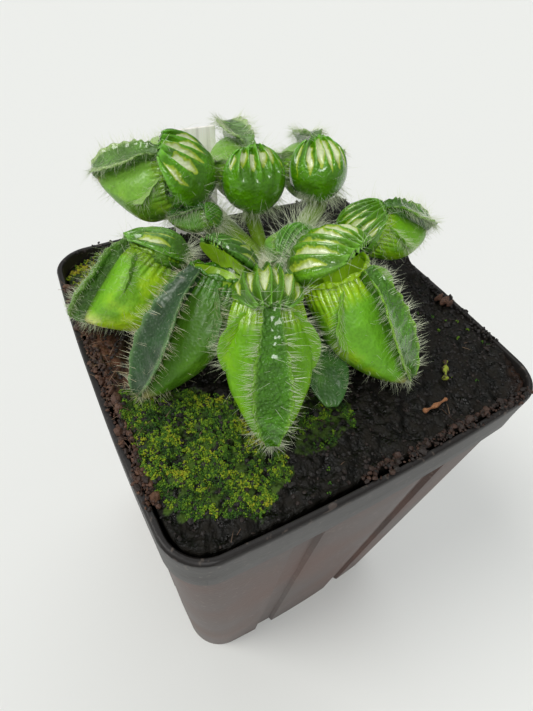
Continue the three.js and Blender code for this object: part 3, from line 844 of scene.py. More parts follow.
def make_side_wing(form, looks, side):
    def place(u, v):
        a = side * mix(math.radians(46), math.radians(86), v)
        root = form.wall(mix(0.93, 0.5, v), a)
        out = vec(math.sin(a), math.cos(a), 0.1).normalized()
        across = vec(-out.y, out.x, 0)
        high = (1.8 * math.sin(PI * mix(0.08, 0.95, v)) + 0.1) * form.size
        turn = u * 2 * PI
        rise = mix(-1.0, high, 0.5 + 0.5 * math.cos(turn))
        thick = 0.75 * math.sin(turn) * mix(1, 0.35, 0.5 + 0.5 * math.cos(turn))
        wave = 0.2 * math.sin(v * 21 + form.seed) * smooth(rise, 0.3, 1.5)
        return form.place @ (root + out * rise + across * (thick + wave))

    wing = close_ends(shaped_sheet("side_wing", 16, 28, place, looks["cup_edge"]))
    mark_edges(wing, form, lambda p, t: 0.5)
    return wing


def tube_frame(way):
    """Sideways and upward at a place on a tube that runs along way."""
    sideways = vec(0, 0, 1).cross(way).normalized()
    return sideways, way.cross(sideways)


def make_stalk(points, radius_a, radius_b, look, rows=26):
    spine, ways = curve_points(points, rows)

    def place(u, v):
        k = int(round(v * rows))
        sideways, upward = tube_frame(ways[k])
        r = mix(radius_a, radius_b, v)
        a = u * 2 * PI
        r *= 1 + 0.06 * math.cos(5 * a) + 0.05 * ripple(spine[k], 2.0, 5)
        return spine[k] + sideways * (r * math.cos(a)) + upward * (r * math.sin(a))

    stalk = close_ends(shaped_sheet("stalk", 18, rows, place, look))
    new_values(stalk.data)
    return stalk


def make_petiole(form, looks):
    """The stalk that a pitcher hangs from. Its root is (direction in degrees, height)."""
    degrees, height = form.spec["root"]
    angle = math.radians(degrees)
    out = vec(math.cos(angle), math.sin(angle), 0)
    crown = CROWN + vec(0, 0, height + RIM)
    back = form.wall(0.88, PI)
    points = [crown + out * (CROWN_RADIUS + 0.3), crown + out * (CROWN_RADIUS + 2.6) + vec(0, 0, 2.6),
              form.place @ (back + vec(0, -2.6 * form.size, 0.8)), form.place @ (back + vec(0, 1.4, 0))]
    girth = form.spec.get("stalk", 1.0)
    return make_stalk(points, 1.2 * girth, 2.1 * form.size * girth, looks["stalk"])


# ------------------------------------------------------------------ hairs

def jitter(spread):
    return vec(*[rng.gauss(0, spread) for _ in range(3)])


class Hairs:
    """Collects hairs and makes them one mesh: each a thin three-sided spike, bent once."""

    def __init__(self):
        self.points, self.faces, self.tones = [], [], []

    def grow(self, root, way, length, thick=0.042, tone=0.0):
        way = way.normalized()
        side = way.orthogonal().normalized()
        other = way.cross(side)
        bend = vec(rng.uniform(-1, 1), rng.uniform(-1, 1), rng.uniform(-1, 0.5)) * 0.16 * length
        rings = [(root, thick), (root + way * length * 0.55 + bend * 0.3, thick * 0.7)]
        start = len(self.points)
        for centre, r in rings:
            for k in range(3):
                a = k * 2 * PI / 3
                self.points.append(centre + side * (r * math.cos(a)) + other * (r * math.sin(a)))
        self.points.append(root + way * length + bend)
        for k in range(3):
            n = (k + 1) % 3
            self.faces.append((start + k, start + n, start + 3 + n, start + 3 + k))
            self.faces.append((start + 3 + k, start + 3 + n, start + 6))
        self.faces.append((start + 2, start + 1, start))
        self.tones.extend([tone] * 7)

    def finish(self, name, look, slot):
        return finish_piece(mesh_piece(name, self.points, self.faces, look, self.tones), slot)


HAIR_SHARES = {"side": 3.2, "under": 0.5, "collar": 0.4, "throat": 0.0, "stalk": 0.14}


def hair_share(form, kind, edge, centre):
    """How thickly hairs stand: many on wing edges and lid, few on the cup's panels."""
    p = form.unplace @ centre
    if kind == "wing":
        return 0.3 + 5.0 * edge
    if kind == "lid":
        return 0.05 + 1.6 * edge + 5.5 * smooth(form.wall(1, PI).y + 2.5 - p.y, 0, 1.5)
    if kind == "cup":
        return 0.22 + 2.5 * hill(p.z / form.length, 0.0, 0.12)
    return HAIR_SHARES[kind]


def hair_on(hairs, leaf, form, count):
    mesh = leaf.data
    tone = mesh.attributes["edge"].data
    kinds = [look.name.rsplit("_", 1)[-1] for look in mesh.materials]
    weights = []
    for poly in mesh.polygons:
        share = hair_share(form, kinds[poly.material_index], tone[poly.vertices[0]].value, poly.center)
        weights.append(share * poly.area)
    straw = form.spec.get("straw", 0.0)
    turn = form.place.to_3x3()
    for index in rng.choices(range(len(weights)), weights=weights, k=count):
        poly = mesh.polygons[index]
        corner = mesh.vertices[poly.vertices[rng.randrange(len(poly.vertices))]].co
        root = corner.lerp(poly.center, rng.random())
        way = poly.normal + jitter(0.32)
        p = form.unplace @ root
        kind = kinds[poly.material_index]
        if kind in ("wing", "side"):
            way = way * 0.7 + (turn @ vec(1 if p.x > 0 else -1, 0.1, -0.1)) * 1.1
        length = abs(rng.gauss(2.1, 0.75)) + 0.3
        if kind == "cup" and p.z > 0.12 * form.length:
            length *= 0.6
        if form.young:
            length *= 1.5
        if kind == "lid":
            length *= 1.5
        hairs.grow(root - poly.normal * 0.05, way, length, rng.uniform(0.024, 0.036),
                   straw * rng.random())
    if not form.young:
        tip_tuft(hairs, form, straw, turn)


def tip_tuft(hairs, form, straw, turn):
    """The white tuft at a pitcher's tip."""
    tip = form.place @ vec(0, 0, 0.3)
    down = turn @ vec(0, 0, -1)
    for _ in range(60):
        way = down + jitter(0.55)
        hairs.grow(tip + vec(*[rng.uniform(-0.5, 0.5) for _ in range(3)]), way,
                   rng.uniform(1.3, 2.9), 0.034, straw * rng.random())


# ------------------------------------------------------------------ the leaves of this plant

PITCHERS = [
    dict(name="pitcher_front", ribs=6, windows=(0.28, 0.92, 0.75, -0.2, 0.95), tone="bright", width=0.96,
         tip=(-20.9, -31.2, 2.6), band=1.14, mouth=(-12.6, -11.6, 20), facing=(-0.28, -0.56, 0.77),
         lid=dict(open=-2, long=14, wide=7.1, high=5, shut=True, pleats=1.5), root=(229, 3.5)),
    dict(name="pitcher_front_right", windows=(0.22, 1.0, 0.95, 0.2, 0.95), tone="fresh", width=1.1,
         tip=(12.2, -30.3, 3.2), mouth=(3.4, -10, 20), facing=(0.2, -0.6, 0.77),
         lid=dict(open=16, long=13.5, wide=8.8, high=5.4), root=(283, 3.5)),
    dict(name="pitcher_front_left", windows=(0.3, 0.95, 0.75, 0, 0.85), tone="dark", width=0.93,
         deep=1.15, straw=0.8, tip=(-38.3, -10.7, 2.3), mouth=(-17, -0.3, 18.2), facing=(-0.7, -0.12, 0.69),
         lid=dict(open=30, long=12.5, wide=7.4, high=4.4), band=1.35, lift=0.3, root=(203, 3.5)),
    dict(name="pitcher_left", windows=(0.25, 1.0, 0.85, 0.3, 0.95), tone="glow", width=0.94,
         beak=1.6, deep=1.6, tip=(-42.8, 11.4, 4.6), mouth=(-25, 15, 14.6), facing=(-0.45, 0.5, 0.72),
         lid=dict(open=2, long=14, wide=7.6, high=5.2, shut=True), root=(164, 2.5)),
    dict(name="pitcher_back_left", ribs=6, windows=(0.4, 1.02, 0.62, 0.8, 0.95), tone="pale", width=1,
         beak=1, deep=1.55, tip=(-29.3, 40.8, 20.3), mouth=(-13, 31, 23), facing=(-0.25, -0.25, 1),
         lid=dict(open=6, long=15.6, wide=8.8, high=7.4, shut=True, smooth=True, pleats=1.5), stalk=2.1,
         root=(118, 3.5)),
    dict(name="pitcher_back", ribs=6, windows=(0.58, 1.04, 0.7, 0.9, 0.9), tone="pale", width=0.96,
         beak=2.2, deep=1.25, tip=(5, 43, 24), mouth=(3.2, 25, 22), facing=(0, 0.1, 1),
         lid=dict(open=4, long=14.2, wide=8.4, high=6.4, shut=True, smooth=True, pleats=1.9), stalk=1.15,
         root=(84, 3.5)),
    dict(name="pitcher_back_right", ribs=6, windows=(0.34, 1.05, 0.8, 1.1, 0.95), tone="pale", width=0.94,
         beak=0.6, deep=1.35, tip=(24.2, 37.4, 22), mouth=(19.5, 21.6, 23.4), facing=(0, 0.1, 1),
         lid=dict(open=4, long=14, wide=7.9, high=6, shut=True, smooth=True, pleats=1.8), stalk=1.5,
         root=(40, 3.5)),
    dict(name="pitcher_right", windows=(0.2, 0.85, 0.65, 0, 0.7), tone="bright", width=0.88,
         beak=1.2, tip=(37.6, -1.6, 16), mouth=(20, 1, 19.4), facing=(0.05, -0.1, 1),
         lid=dict(open=4, long=13.4, wide=7.2, high=5.4, shut=True), root=(330, 2.8)),
    dict(name="young_pitcher_centre", windows=(0.3, 0.6, 0.4, 0, 0.12), tone="young", width=0.74,
         young=True, tip=(1.4, 6.8, CROWN_TOP + 0.3), mouth=(4.4, 5.2, 15.8), facing=(-0.6, -0.6, 0.5),
         lid=dict(open=0, long=13, wide=6.6, high=4, shut=True)),
    dict(name="young_pitcher_left", windows=(0.2, 0.7, 0.4, 0, 0.3), tone="young", width=0.46,
         young=True, tip=(-17.8, 27.4, 14.8), mouth=(-8.6, 22.8, 16.2), facing=(-0.2, -0.3, 0.93),
         lid=dict(open=0, long=13, wide=6.6, high=4, shut=True), root=(140, 5.2)),
]
SLOTS = {"bright": "leaf_bright", "glow": "leaf_bright", "fresh": "leaf_bright", "dark": "leaf_dark",
         "pale": "leaf_pale", "young": "leaf_young"}

# panel, belly, glow, wing, wing edge, lid, window, bead, throat and stalk of each tone
TONES = {
    "bright": [(0.125, 0.33, 0.006), (0.13, 0.36, 0.004), (0.32, 0.56, 0.012), (0.07, 0.24, 0.004),
               (0.17, 0.38, 0.02), (0.09, 0.26, 0.002), (0.74, 0.84, 0.48), (0.26, 0.5, 0.01),
               (0.2, 0.4, 0.015), (0.3, 0.44, 0.02)],
    "fresh": [(0.14, 0.38, 0.018), (0.18, 0.43, 0.008), (0.4, 0.62, 0.02), (0.1, 0.32, 0.01),
              (0.24, 0.48, 0.04), (0.11, 0.3, 0.003), (0.74, 0.84, 0.5), (0.36, 0.62, 0.01),
              (0.26, 0.46, 0.015), (0.3, 0.44, 0.02)],
    "dark": [(0.055, 0.15, 0.01), (0.07, 0.2, 0.006), (0.14, 0.32, 0.02), (0.028, 0.085, 0.022),
             (0.11, 0.22, 0.07), (0.06, 0.19, 0.006), (0.55, 0.68, 0.32), (0.06, 0.2, 0.008),
             (0.3, 0.52, 0.02), (0.2, 0.36, 0.03)],
    # The glow tone is a brighter copy of the leaf colours: painted light for the far left cup, which light
    # shines through.
    "glow": [(0.16, 0.4, 0.02), (0.2, 0.46, 0.015), (0.5, 0.76, 0.02), (0.11, 0.25, 0.04),
             (0.18, 0.34, 0.06), (0.08, 0.24, 0.003), (0.74, 0.84, 0.48), (0.2, 0.38, 0.01),
             (0.1, 0.19, 0.02), (0.24, 0.4, 0.03)],
    "pale": [(0.19, 0.4, 0.05), (0.15, 0.38, 0.008), (0.34, 0.56, 0.03), (0.15, 0.33, 0.05),
             (0.4, 0.58, 0.2), (0.1, 0.32, 0.0015), (0.8, 0.88, 0.56), (0.2, 0.4, 0.02),
             (0.1, 0.19, 0.02), (0.2, 0.36, 0.012)],
    "young": [(0.14, 0.34, 0.05), (0.17, 0.38, 0.03), (0.3, 0.5, 0.06), (0.06, 0.22, 0.02),
              (0.2, 0.42, 0.08), (0.11, 0.34, 0.02), (0.4, 0.58, 0.24), (0.2, 0.4, 0.05),
              (0.1, 0.19, 0.02), (0.26, 0.42, 0.05)],
}
DRY_TIP = (0.4, 0.34, 0.14)
SHINE_HEIGHT = 0.1322  # in metres, below which the far left cup glows
THROAT_GLOW = 0.3


def leaf_looks():
    looks = {}
    for tone, colours in TONES.items():
        panel, belly, glow, wing, wing_edge, lid, window, bead, throat, stalk = colours
        shine = SHINE_HEIGHT if tone == "glow" else None
        looks[tone] = {
            "cup": cup_skin(tone + "_cup", panel, belly, glow, bead, DRY_TIP, shine),
            "cup_edge": cup_skin(tone + "_side", panel, panel, glow, wing_edge),
            "wing": wing_skin(tone + "_wing", wing, wing_edge),
            "lid": (lid, window),
            # the collar's furrows get painted shade, a darker copy of the bead colour
            "collar": collar_skin(tone + "_collar", bead, shade(bead, 0.6)),
            "throat": throat_skin(tone + "_throat", throat, THROAT_GLOW),
            "under": throat_skin(tone + "_under", lid, 0.0),
            "stalk": stalk_skin(tone + "_stalk", stalk),
        }
    return looks


def make_pitchers(hair_look):
    looks = leaf_looks()
    for spec in PITCHERS:
        form = Form(spec)
        name, slot = spec["name"], SLOTS[spec["tone"]]
        own = dict(looks[spec["tone"]])
        own["lid"] = lid_skin(name + "_lid", *own["lid"], form.ribs, spec["windows"], form.seed)
        parts = [make_cup(form, own, not spec["lid"].get("shut")), make_lid(form, own),
                 make_band(form, own)]
        if not form.young:
            parts += [make_side_wing(form, own, 1), make_side_wing(form, own, -1)]
        if "root" in spec:
            parts.append(make_petiole(form, own))
        leaf = join_into("leaf_" + name, parts)
        close_seams(leaf)
        hairs = Hairs()
        hair_on(hairs, leaf, form, 750 if form.young else 1250)
        finish_piece(leaf, slot, name)
        hairs.finish("hairs_" + name, hair_look, slot)


# ------------------------------------------------------------------ small leaf and crown

def make_small_leaf(hair_look):
    """The small oval leaf that lies low between the two front pitchers."""
    base, end = vec(1.5, -9, 6 + RIM), vec(-5.2, -28.6, 1.4 + RIM)
    along = end - base
    way_along = along.normalized()
    across = vec(0, 0, 1).cross(along).normalized()
    up = along.cross(across).normalized()

    def place(u, v):
        half = 0.5 + 4.1 * math.sin(PI * min(max((v - 0.3) / 0.72, 0), 0.97)) ** 0.7
        middle = base + along * v + up * (2.2 * math.sin(PI * v))
        a = u * 2 * PI
        thick = 0.55 + 0.35 * (1 - v)
        out = middle + across * (half * math.cos(a))
        wave = 0.25 * ripple(out, 2.2, 3)
        vein = 0.12 * math.cos(abs(math.cos(a)) * 14 - v * 26) * smooth(v, 0.35, 0.6)
        return out + up * (thick * math.sin(a) * (1 + vein) + 0.5 * math.cos(a) ** 2 + wave)

    skin = cup_skin("small_leaf_side", (0.05, 0.14, 0.03), (0.04, 0.11, 0.02), (0.1, 0.24, 0.04),
                    (0.08, 0.2, 0.04))
    leaf = close_ends(shaped_sheet("leaf_small_leaf", 48, 60, place, skin))
    new_values(leaf.data)
    close_seams(leaf)
    hairs = Hairs()
    polygons = leaf.data.polygons
    weights = [poly.area * (5.0 if (poly.center - base).cross(way_along).length > 3 else 0.6)
               for poly in polygons]
    for index in rng.choices(range(len(weights)), weights=weights, k=420):
        poly = polygons[index]
        reach = poly.center - base
        out = reach - way_along * reach.dot(way_along)
        way = poly.normal + out.normalized() * 0.6 + jitter(0.3)
        hairs.grow(poly.center.copy(), way, rng.uniform(0.8, 2.0), 0.026)
    finish_piece(leaf, "leaf_dark", "small_leaf")
    hairs.finish("hairs_small_leaf", hair_look, "leaf_dark")


def make_crown(hair_look):
    """The knobby crown that the stalks rise from, with short hairs between them."""
    rows = [(-9, 1.6), (-6, 3.4), (-2, 4.6), (2, 5.0), (5, 4.8), (6.8, 3.8), (CROWN_TOP, 2.2)]

    def place(u, v):
        z = mix(rows[0][0], CROWN_TOP, v)
        k = 0
        while k < len(rows) - 2 and z > rows[k + 1][0]:
            k += 1
        share = (z - rows[k][0]) / (rows[k + 1][0] - rows[k][0])
        a = u * 2 * PI
        scale = 1 + 0.05 * math.cos(6 * a + z * 0.9) + 0.02 * math.cos(17 * a - z * 2)
        r = (mix(rows[k][1], rows[k + 1][1], smooth(share, 0, 1)) - 0.3) * scale
        return CROWN + vec(r * math.cos(a), r * math.sin(a), z + RIM)

    flesh = stalk_skin("crown_flesh", (0.26, 0.3, 0.08))
    crown = close_ends(shaped_sheet("crown_fine", 72, 60, place, flesh))
    new_values(crown.data)
    close_seams(crown)
    hairs = Hairs()
    for _ in range(1800):
        a, z = rng.uniform(0, 2 * PI), rng.uniform(-0.5, 7.6)
        r = 4.6 if z < 5 else 4.6 - (z - 5) * 0.9
        out = vec(math.cos(a), math.sin(a), 0)
        way = out + vec(rng.gauss(0, 0.35), rng.gauss(0, 0.35), rng.uniform(-0.1, 1.1))
        hairs.grow(CROWN + out * r + vec(0, 0, z + RIM), way, rng.uniform(1.8, 4.6), 0.034)
    finish_piece(crown, "crown_flesh", "crown")
    hairs.finish("hairs_crown", hair_look, "crown_flesh")


# ------------------------------------------------------------------ the pot

POT_SIDE, POT_BOTTOM_SIDE, BAND_HEIGHT, BAND_STEP = 90, 81.2, 12.3, 1.0
RIM_RADIUS, BASE_RADIUS, SIDE_BOW, WALL, LIP_WALL, POT_FLOOR = 9.2, 12.5, 1.1, 1.2, 1.5, 1.4
GROOVE_OUTER, GROOVE_INNER, GROOVE_DEPTH = 21.5, 13.9, 1.2
DRAIN_PLACE, DRAIN_RADIUS = 24, 3


def pot_outline(half, radius, groove):
    """One level of the pot: rounded corners, swollen sides and two grooves a side."""
    scale = half / (POT_SIDE / 2)
    straight = half - radius
    stops = [(30, 0), (25, 0), (GROOVE_OUTER + 0.1, 0), (GROOVE_OUTER - 0.4, 1), (17.7, 1),
             (GROOVE_INNER + 0.4, 1), (GROOVE_INNER - 0.1, 0), (9, 0), (4.5, 0), (0, 0)]
    stops += [(-s, deep) for s, deep in reversed(stops[:-1])]
    points = []
    for side in range(4):
        c, s = round(math.cos(side * PI / 2)), round(math.sin(side * PI / 2))

        def put(along, out):
            points.append((c * along + s * out, s * along - c * out))

        for stop, deep in stops:
            along = -stop * scale
            put(along, half + SIDE_BOW * (1 - (along / max(straight, 0.01)) ** 2) - deep * groove)
        for k in range(13):
            a = k / 12 * PI / 2
            put(straight + radius * math.sin(a), straight + radius * math.cos(a))
    return points


def make_pot():
    top, foot = POT_SIDE / 2, POT_BOTTOM_SIDE / 2
    under, band = top - BAND_STEP, RIM - BAND_HEIGHT
    inside_half = top - LIP_WALL
    inner_radius = RIM_RADIUS - LIP_WALL
    # height, half side, corner radius and groove depth of each level
    levels = [(0, foot - 0.9, BASE_RADIUS, 0.9), (0.25, foot - 0.3, BASE_RADIUS, GROOVE_DEPTH),
              (0.9, foot, BASE_RADIUS, GROOVE_DEPTH)]
    for z in (30, 60, 90, band - 0.5):
        share = z / band
        levels.append((z, mix(foot, under, share), mix(BASE_RADIUS, RIM_RADIUS, share), GROOVE_DEPTH))
    levels.append((band, under, RIM_RADIUS, GROOVE_DEPTH))
    for z, half in ((band + 0.05, top - 0.4), (band + 0.5, top - 0.12), (band + 4, top - 0.16),
                    (band + 8, top - 0.1), (RIM - 1.6, top), (RIM - 0.5, top - 0.02),
                    (RIM - 0.1, top - 0.3), (RIM, top - 0.7)):
        levels.append((z, half, RIM_RADIUS, 0))
    for z, half in ((RIM - 0.1, inside_half + 0.2), (RIM - 0.6, inside_half),
                    (band + 2, inside_half - 0.3)):
        levels.append((z, half, inner_radius, 0))
    levels += [(band - 1, under - WALL, RIM_RADIUS - WALL, GROOVE_DEPTH),
               (POT_FLOOR, foot - WALL, BASE_RADIUS - WALL, GROOVE_DEPTH)]
    outlines = [pot_outline(half, radius, groove) for _, half, radius, groove in levels]
    columns, rows = len(outlines[0]), len(levels) + 1

    def place(u, v):
        row = int(round(v * rows))
        if row in (0, rows):
            return vec(0, 0, 0 if row == 0 else POT_FLOOR)
        x, y = outlines[row - 1][int(round(u * columns)) % columns]
        return vec(x, y, levels[row - 1][0])

    pot = shaped_sheet("pot_fine", columns, rows, place, pot_plastic())
    close_seams(pot)
    for x in (DRAIN_PLACE, -DRAIN_PLACE):
        for y in (DRAIN_PLACE, -DRAIN_PLACE):
            bpy.ops.mesh.primitive_cylinder_add(vertices=32, radius=DRAIN_RADIUS, depth=6,
                                                location=(x, y, 0.7))
            drill = bpy.context.object
            apply_modifier(pot, "drain_hole", "BOOLEAN", operation="DIFFERENCE", object=drill, solver="EXACT")
            bpy.data.objects.remove(drill)
    apply_modifier(pot, "soft_edges", "BEVEL", width=0.3, segments=2, limit_method="ANGLE",
                   angle_limit=math.radians(40))
    smooth_below(pot, 40)
    finish_piece(pot, "pot_plastic", "pot")


def pot_plastic():
    """Dark brown nursery plastic: satin, blacker on its rim band, dusty and scratched."""
    look, tree, skin = new_material("pot_plastic_fine")
    skin.inputs["Specular IOR Level"].default_value = 0.35
    mottle = noise_on(tree, 26, 4)
    dust = use_group(tree, SPECKLE, Scale=700.0, Amount=0.32)
    scratch = noise_on(tree, 1.0, 1.0, stretched(tree, "Object", (260, 260, 2600), (0.5, 0.25, 0)))
    line = times(tree, ramp(tree, scratch, 0.7, 0.76), dust["Soft"])
    band_start = (RIM - BAND_HEIGHT) * MM
    band = ramp(tree, axes(tree, "Object")["Z"], band_start - 0.0002, band_start + 0.0006)
    brown = blend_colour(tree, ramp(tree, mottle, 0.35, 0.7), (0.036, 0.014, 0.009), (0.085, 0.034, 0.022))
    scuffed = layers(tree, brown, (band, (0.014, 0.012, 0.011)),
                     (times(tree, dust["Mask"], 0.5), (0.20, 0.16, 0.13)),
                     (times(tree, line, 0.6), (0.17, 0.13, 0.11)))
    join_nodes(tree, scuffed, skin.inputs["Base Color"])
    join_nodes(tree, change(tree, mottle, 0, 1, 0.3, 0.55), skin.inputs["Roughness"])
    add_relief(tree, skin, plus(tree, noise_on(tree, 900), times(tree, mottle, 2.0)), 0.12, 0.0004)
    return look


# ------------------------------------------------------------------ peat, moss and litter

SOIL_LEVEL, SOIL_LUMP = -0.5, 0.45
SOIL_HALF, SOIL_CORNER = 43.2, 12  # half its side, and how square its corners are
HEAPS = [(41, 14, 14, 5.6), (40, 34, 10, 3.6), (-40, 41, 12, -2.6), (-42, -8, 13, 2.4),
         (-24, -34, 13, 0.8)]
MAIN_MOSS = [(-43, -7), (-31, -11), (-20, -18), (-18, -27), (-19, -37), (-28, -41.5), (-40, -36), (-43, -27)]
FRONT_MOSS = [(-18, -21), (-4, -22), (1, -28), (-3, -35), (-12, -35), (-19, -31)]
LEFT_MOSS = [(-41, 42), (-33, 43), (-22, 40), (-26, 22), (-38, 19), (-43, 24), (-43, 38)]
LOOSE_MOSS = [(43.1, -13.1), (40.6, -27.9), (42.2, -28.8), (35, -16), (38, -18), (40, -20), (34, -20),
              (30, -36), (36.5, -24), (41, -23), (33, -13), (25.5, -30.5), (26, -32.5), (-14, -41.5),
              (-12.5, -39), (-15.5, -43)]
LIP_START = 42.6  # where the crumbs over the pot's lip begin


def inside(shape, x, y):
    """True where (x, y) is within the outline."""
    hit = False
    for i in range(len(shape)):
        (x1, y1), (x2, y2) = shape[i], shape[i - 1]
        if (y1 > y) != (y2 > y) and x < (x2 - x1) * (y - y1) / (y2 - y1) + x1:
            hit = not hit
    return hit


def bump(x, y, cx, cy, reach, lift):
    return lift * math.exp(-((x - cx) ** 2 + (y - cy) ** 2) / reach ** 2)


def soil_height(x, y):
    lumps = (math.sin(x * 0.55 + 1.3 * math.sin(y * 0.31)) * math.cos(y * 0.47 + 0.8 * math.sin(x * 0.23 + 1))
             + 0.5 * math.sin(x * 0.93 - y * 0.71 + 2))
    height = SOIL_LEVEL + SOIL_LUMP * lumps
    for heap in HEAPS:
        height += bump(x, y, *heap)
    return height


def fine_soil(x, y):
    """The soil with its clods and crumbs, and a little higher in the front corner."""
    p = vec(x, y, 0)
    clod = 0.6 * ripple(p, 3.4, 1) + 0.5 * ripple(p, 1.4, 2) + 0.4 * abs(ripple(p, 0.75, 3))
    return soil_height(x, y) + clod + bump(x, y, -42, -42, 9, 1.0)


def soil_edge(angle):
    c, s = math.cos(angle), math.sin(angle)
    reach = SOIL_HALF / (abs(c) ** SOIL_CORNER + abs(s) ** SOIL_CORNER) ** (1 / SOIL_CORNER)
    return c * reach, s * reach


def make_peat():
    def place(u, v):
        a, b = u * 2 - 1, v * 2 - 1
        m = max(abs(a), abs(b))
        if m == 0:
            return vec(0, 0, RIM + fine_soil(0, 0))
        ex, ey = soil_edge(math.atan2(b, a))
        x, y = ex * m, ey * m
        return vec(x, y, RIM + fine_soil(x, y))

    peat = shaped_sheet("peat_fine", 280, 280, place, peat_look())
    pick(peat)
    bpy.ops.object.mode_set(mode="EDIT")
    for drop, narrow in ((9, 1.0), (5, 0.965), (110, 0.9)):
        bpy.ops.mesh.select_all(action="DESELECT")
        bpy.ops.mesh.select_non_manifold()
        bpy.ops.mesh.extrude_region_move(TRANSFORM_OT_translate={"value": (0, 0, -drop)})
        bpy.ops.transform.resize(value=(narrow, narrow, 1), center_override=(0, 0, 0))
    bpy.ops.mesh.edge_face_add()
    bpy.ops.object.mode_set(mode="OBJECT")
    close_seams(peat, 0.0005)
    mesh = peat.data
    green, rust = new_values(mesh, "moss"), new_values(mesh, "rust")
    for v in mesh.vertices:
        if v.co.z < 20:
            v.co.z = POT_FLOOR + 0.3
        x, y = v.co.x, v.co.y
        wander = 2.5 * ripple(vec(x, y, 0), 5, 9)
        film = 0.0
        for shape, strength in ((MAIN_MOSS, 1.0), (FRONT_MOSS, 0.75), (LEFT_MOSS, 0.8)):
            if inside(shape, x + wander, y + wander):
                film = max(film, strength)
        green.data[v.index].value = film
        rust.data[v.index].value = max(
            smooth(-x, 35, 42) * smooth(y, -16, -2) * smooth(24 - y, 0, 8),
            0.55 * smooth(x - y, 74, 84))
    finish_piece(peat, "wet_peat", "peat")


def peat_look():
    """Wet black peat: rusty brown where it dries, with a film of green under the moss."""
    look, tree, skin = new_material("wet_peat_fine")
    skin.inputs["Specular IOR Level"].default_value = 0.2
    clods = noise_on(tree, 420, 6)
    tone = ramp(tree, clods, 0.35, 0.72)
    black = blend_colour(tree, tone, (0.003, 0.003, 0.002), (0.013, 0.011, 0.008))
    brown = blend_colour(tree, tone, (0.03, 0.012, 0.007), (0.12, 0.052, 0.028))
    film = blend_colour(tree, tone, (0.016, 0.035, 0.006), (0.06, 0.11, 0.012))
    patchy = times(tree, own_value(tree, "moss"), ramp(tree, clods, 0.38, 0.55))
    join_nodes(tree, layers(tree, black, (own_value(tree, "rust"), brown), (patchy, film)),
               skin.inputs["Base Color"])
    join_nodes(tree, change(tree, clods, 0.3, 0.7, 0.12, 0.9), skin.inputs["Roughness"])
    add_relief(tree, skin, plus(tree, clods, times(tree, cells_on(tree, 1500), 0.5)), 0.8, 0.0005)
    return look


def one_lump(bud):
    """A small rough lump, modelled once: its points and faces are copied for every bud or crumb."""
    if bud:
        bpy.ops.mesh.primitive_cone_add(vertices=5, radius1=1, radius2=0, depth=1.5)
    else:
        bpy.ops.mesh.primitive_ico_sphere_add(subdivisions=1, radius=1)
    lump = bpy.context.object
    points = [v.co * (1 + 0.34 * ripple(v.co, 0.7, 6)) for v in lump.data.vertices]
    faces = [tuple(p.vertices) for p in lump.data.polygons]
    bpy.data.objects.remove(lump)
    return points, faces


def scatter(name, spots, look, slot, bud):
    """Spots are (place, size, flatness, tone). One mesh with a lump at each: smooth buds or rough crumbs."""
    points, faces = one_lump(bud)
    all_points, all_faces, tones = [], [], []
    for place, size, flat, tone in spots:
        turn = Matrix.Rotation(rng.uniform(0, 2 * PI), 3, "Z") @ Matrix.Rotation(rng.uniform(-1, 1), 3, "X")
        stretch = vec(rng.uniform(0.55, 1.5), rng.uniform(0.55, 1.5), flat)
        start = len(all_points)
        for p in points:
            q = turn @ vec(p.x * stretch.x, p.y * stretch.y, p.z)
            all_points.append(place + vec(q.x, q.y, q.z * stretch.z) * size)
        all_faces.extend(tuple(start + i for i in face) for face in faces)
        tones.extend([tone] * len(points))
    piece = mesh_piece(name, all_points, all_faces, look, tones, "tone")
    piece.data.polygons.foreach_set("use_smooth", [bud] * len(all_faces))
    finish_piece(piece, slot)


def tone_look(name, stops, roughness, relief):
    """A rough stuff whose colour follows each lump's own tone, from 0 to 1."""
    look, tree, skin = new_material(name)
    skin.inputs["Roughness"].default_value = roughness
    colours = add(tree, "ShaderNodeValToRGB")
    elements = colours.color_ramp.elements
    elements[0].color = (*stops[0], 1)
    elements[1].color = (*stops[-1], 1)
    for k, colour in enumerate(stops[1:-1], 1):
        elements.new(k / (len(stops) - 1)).color = (*colour, 1)
    join_nodes(tree, own_value(tree, "tone"), colours.inputs["Fac"])
    fine = noise_on(tree, 2600)
    join_nodes(tree, layers(tree, colours.outputs["Color"], (times(tree, fine, 0.6), shade(stops[0], 0.3))),
               skin.inputs["Base Color"])
    add_relief(tree, skin, fine, relief, 0.0002)
    return look


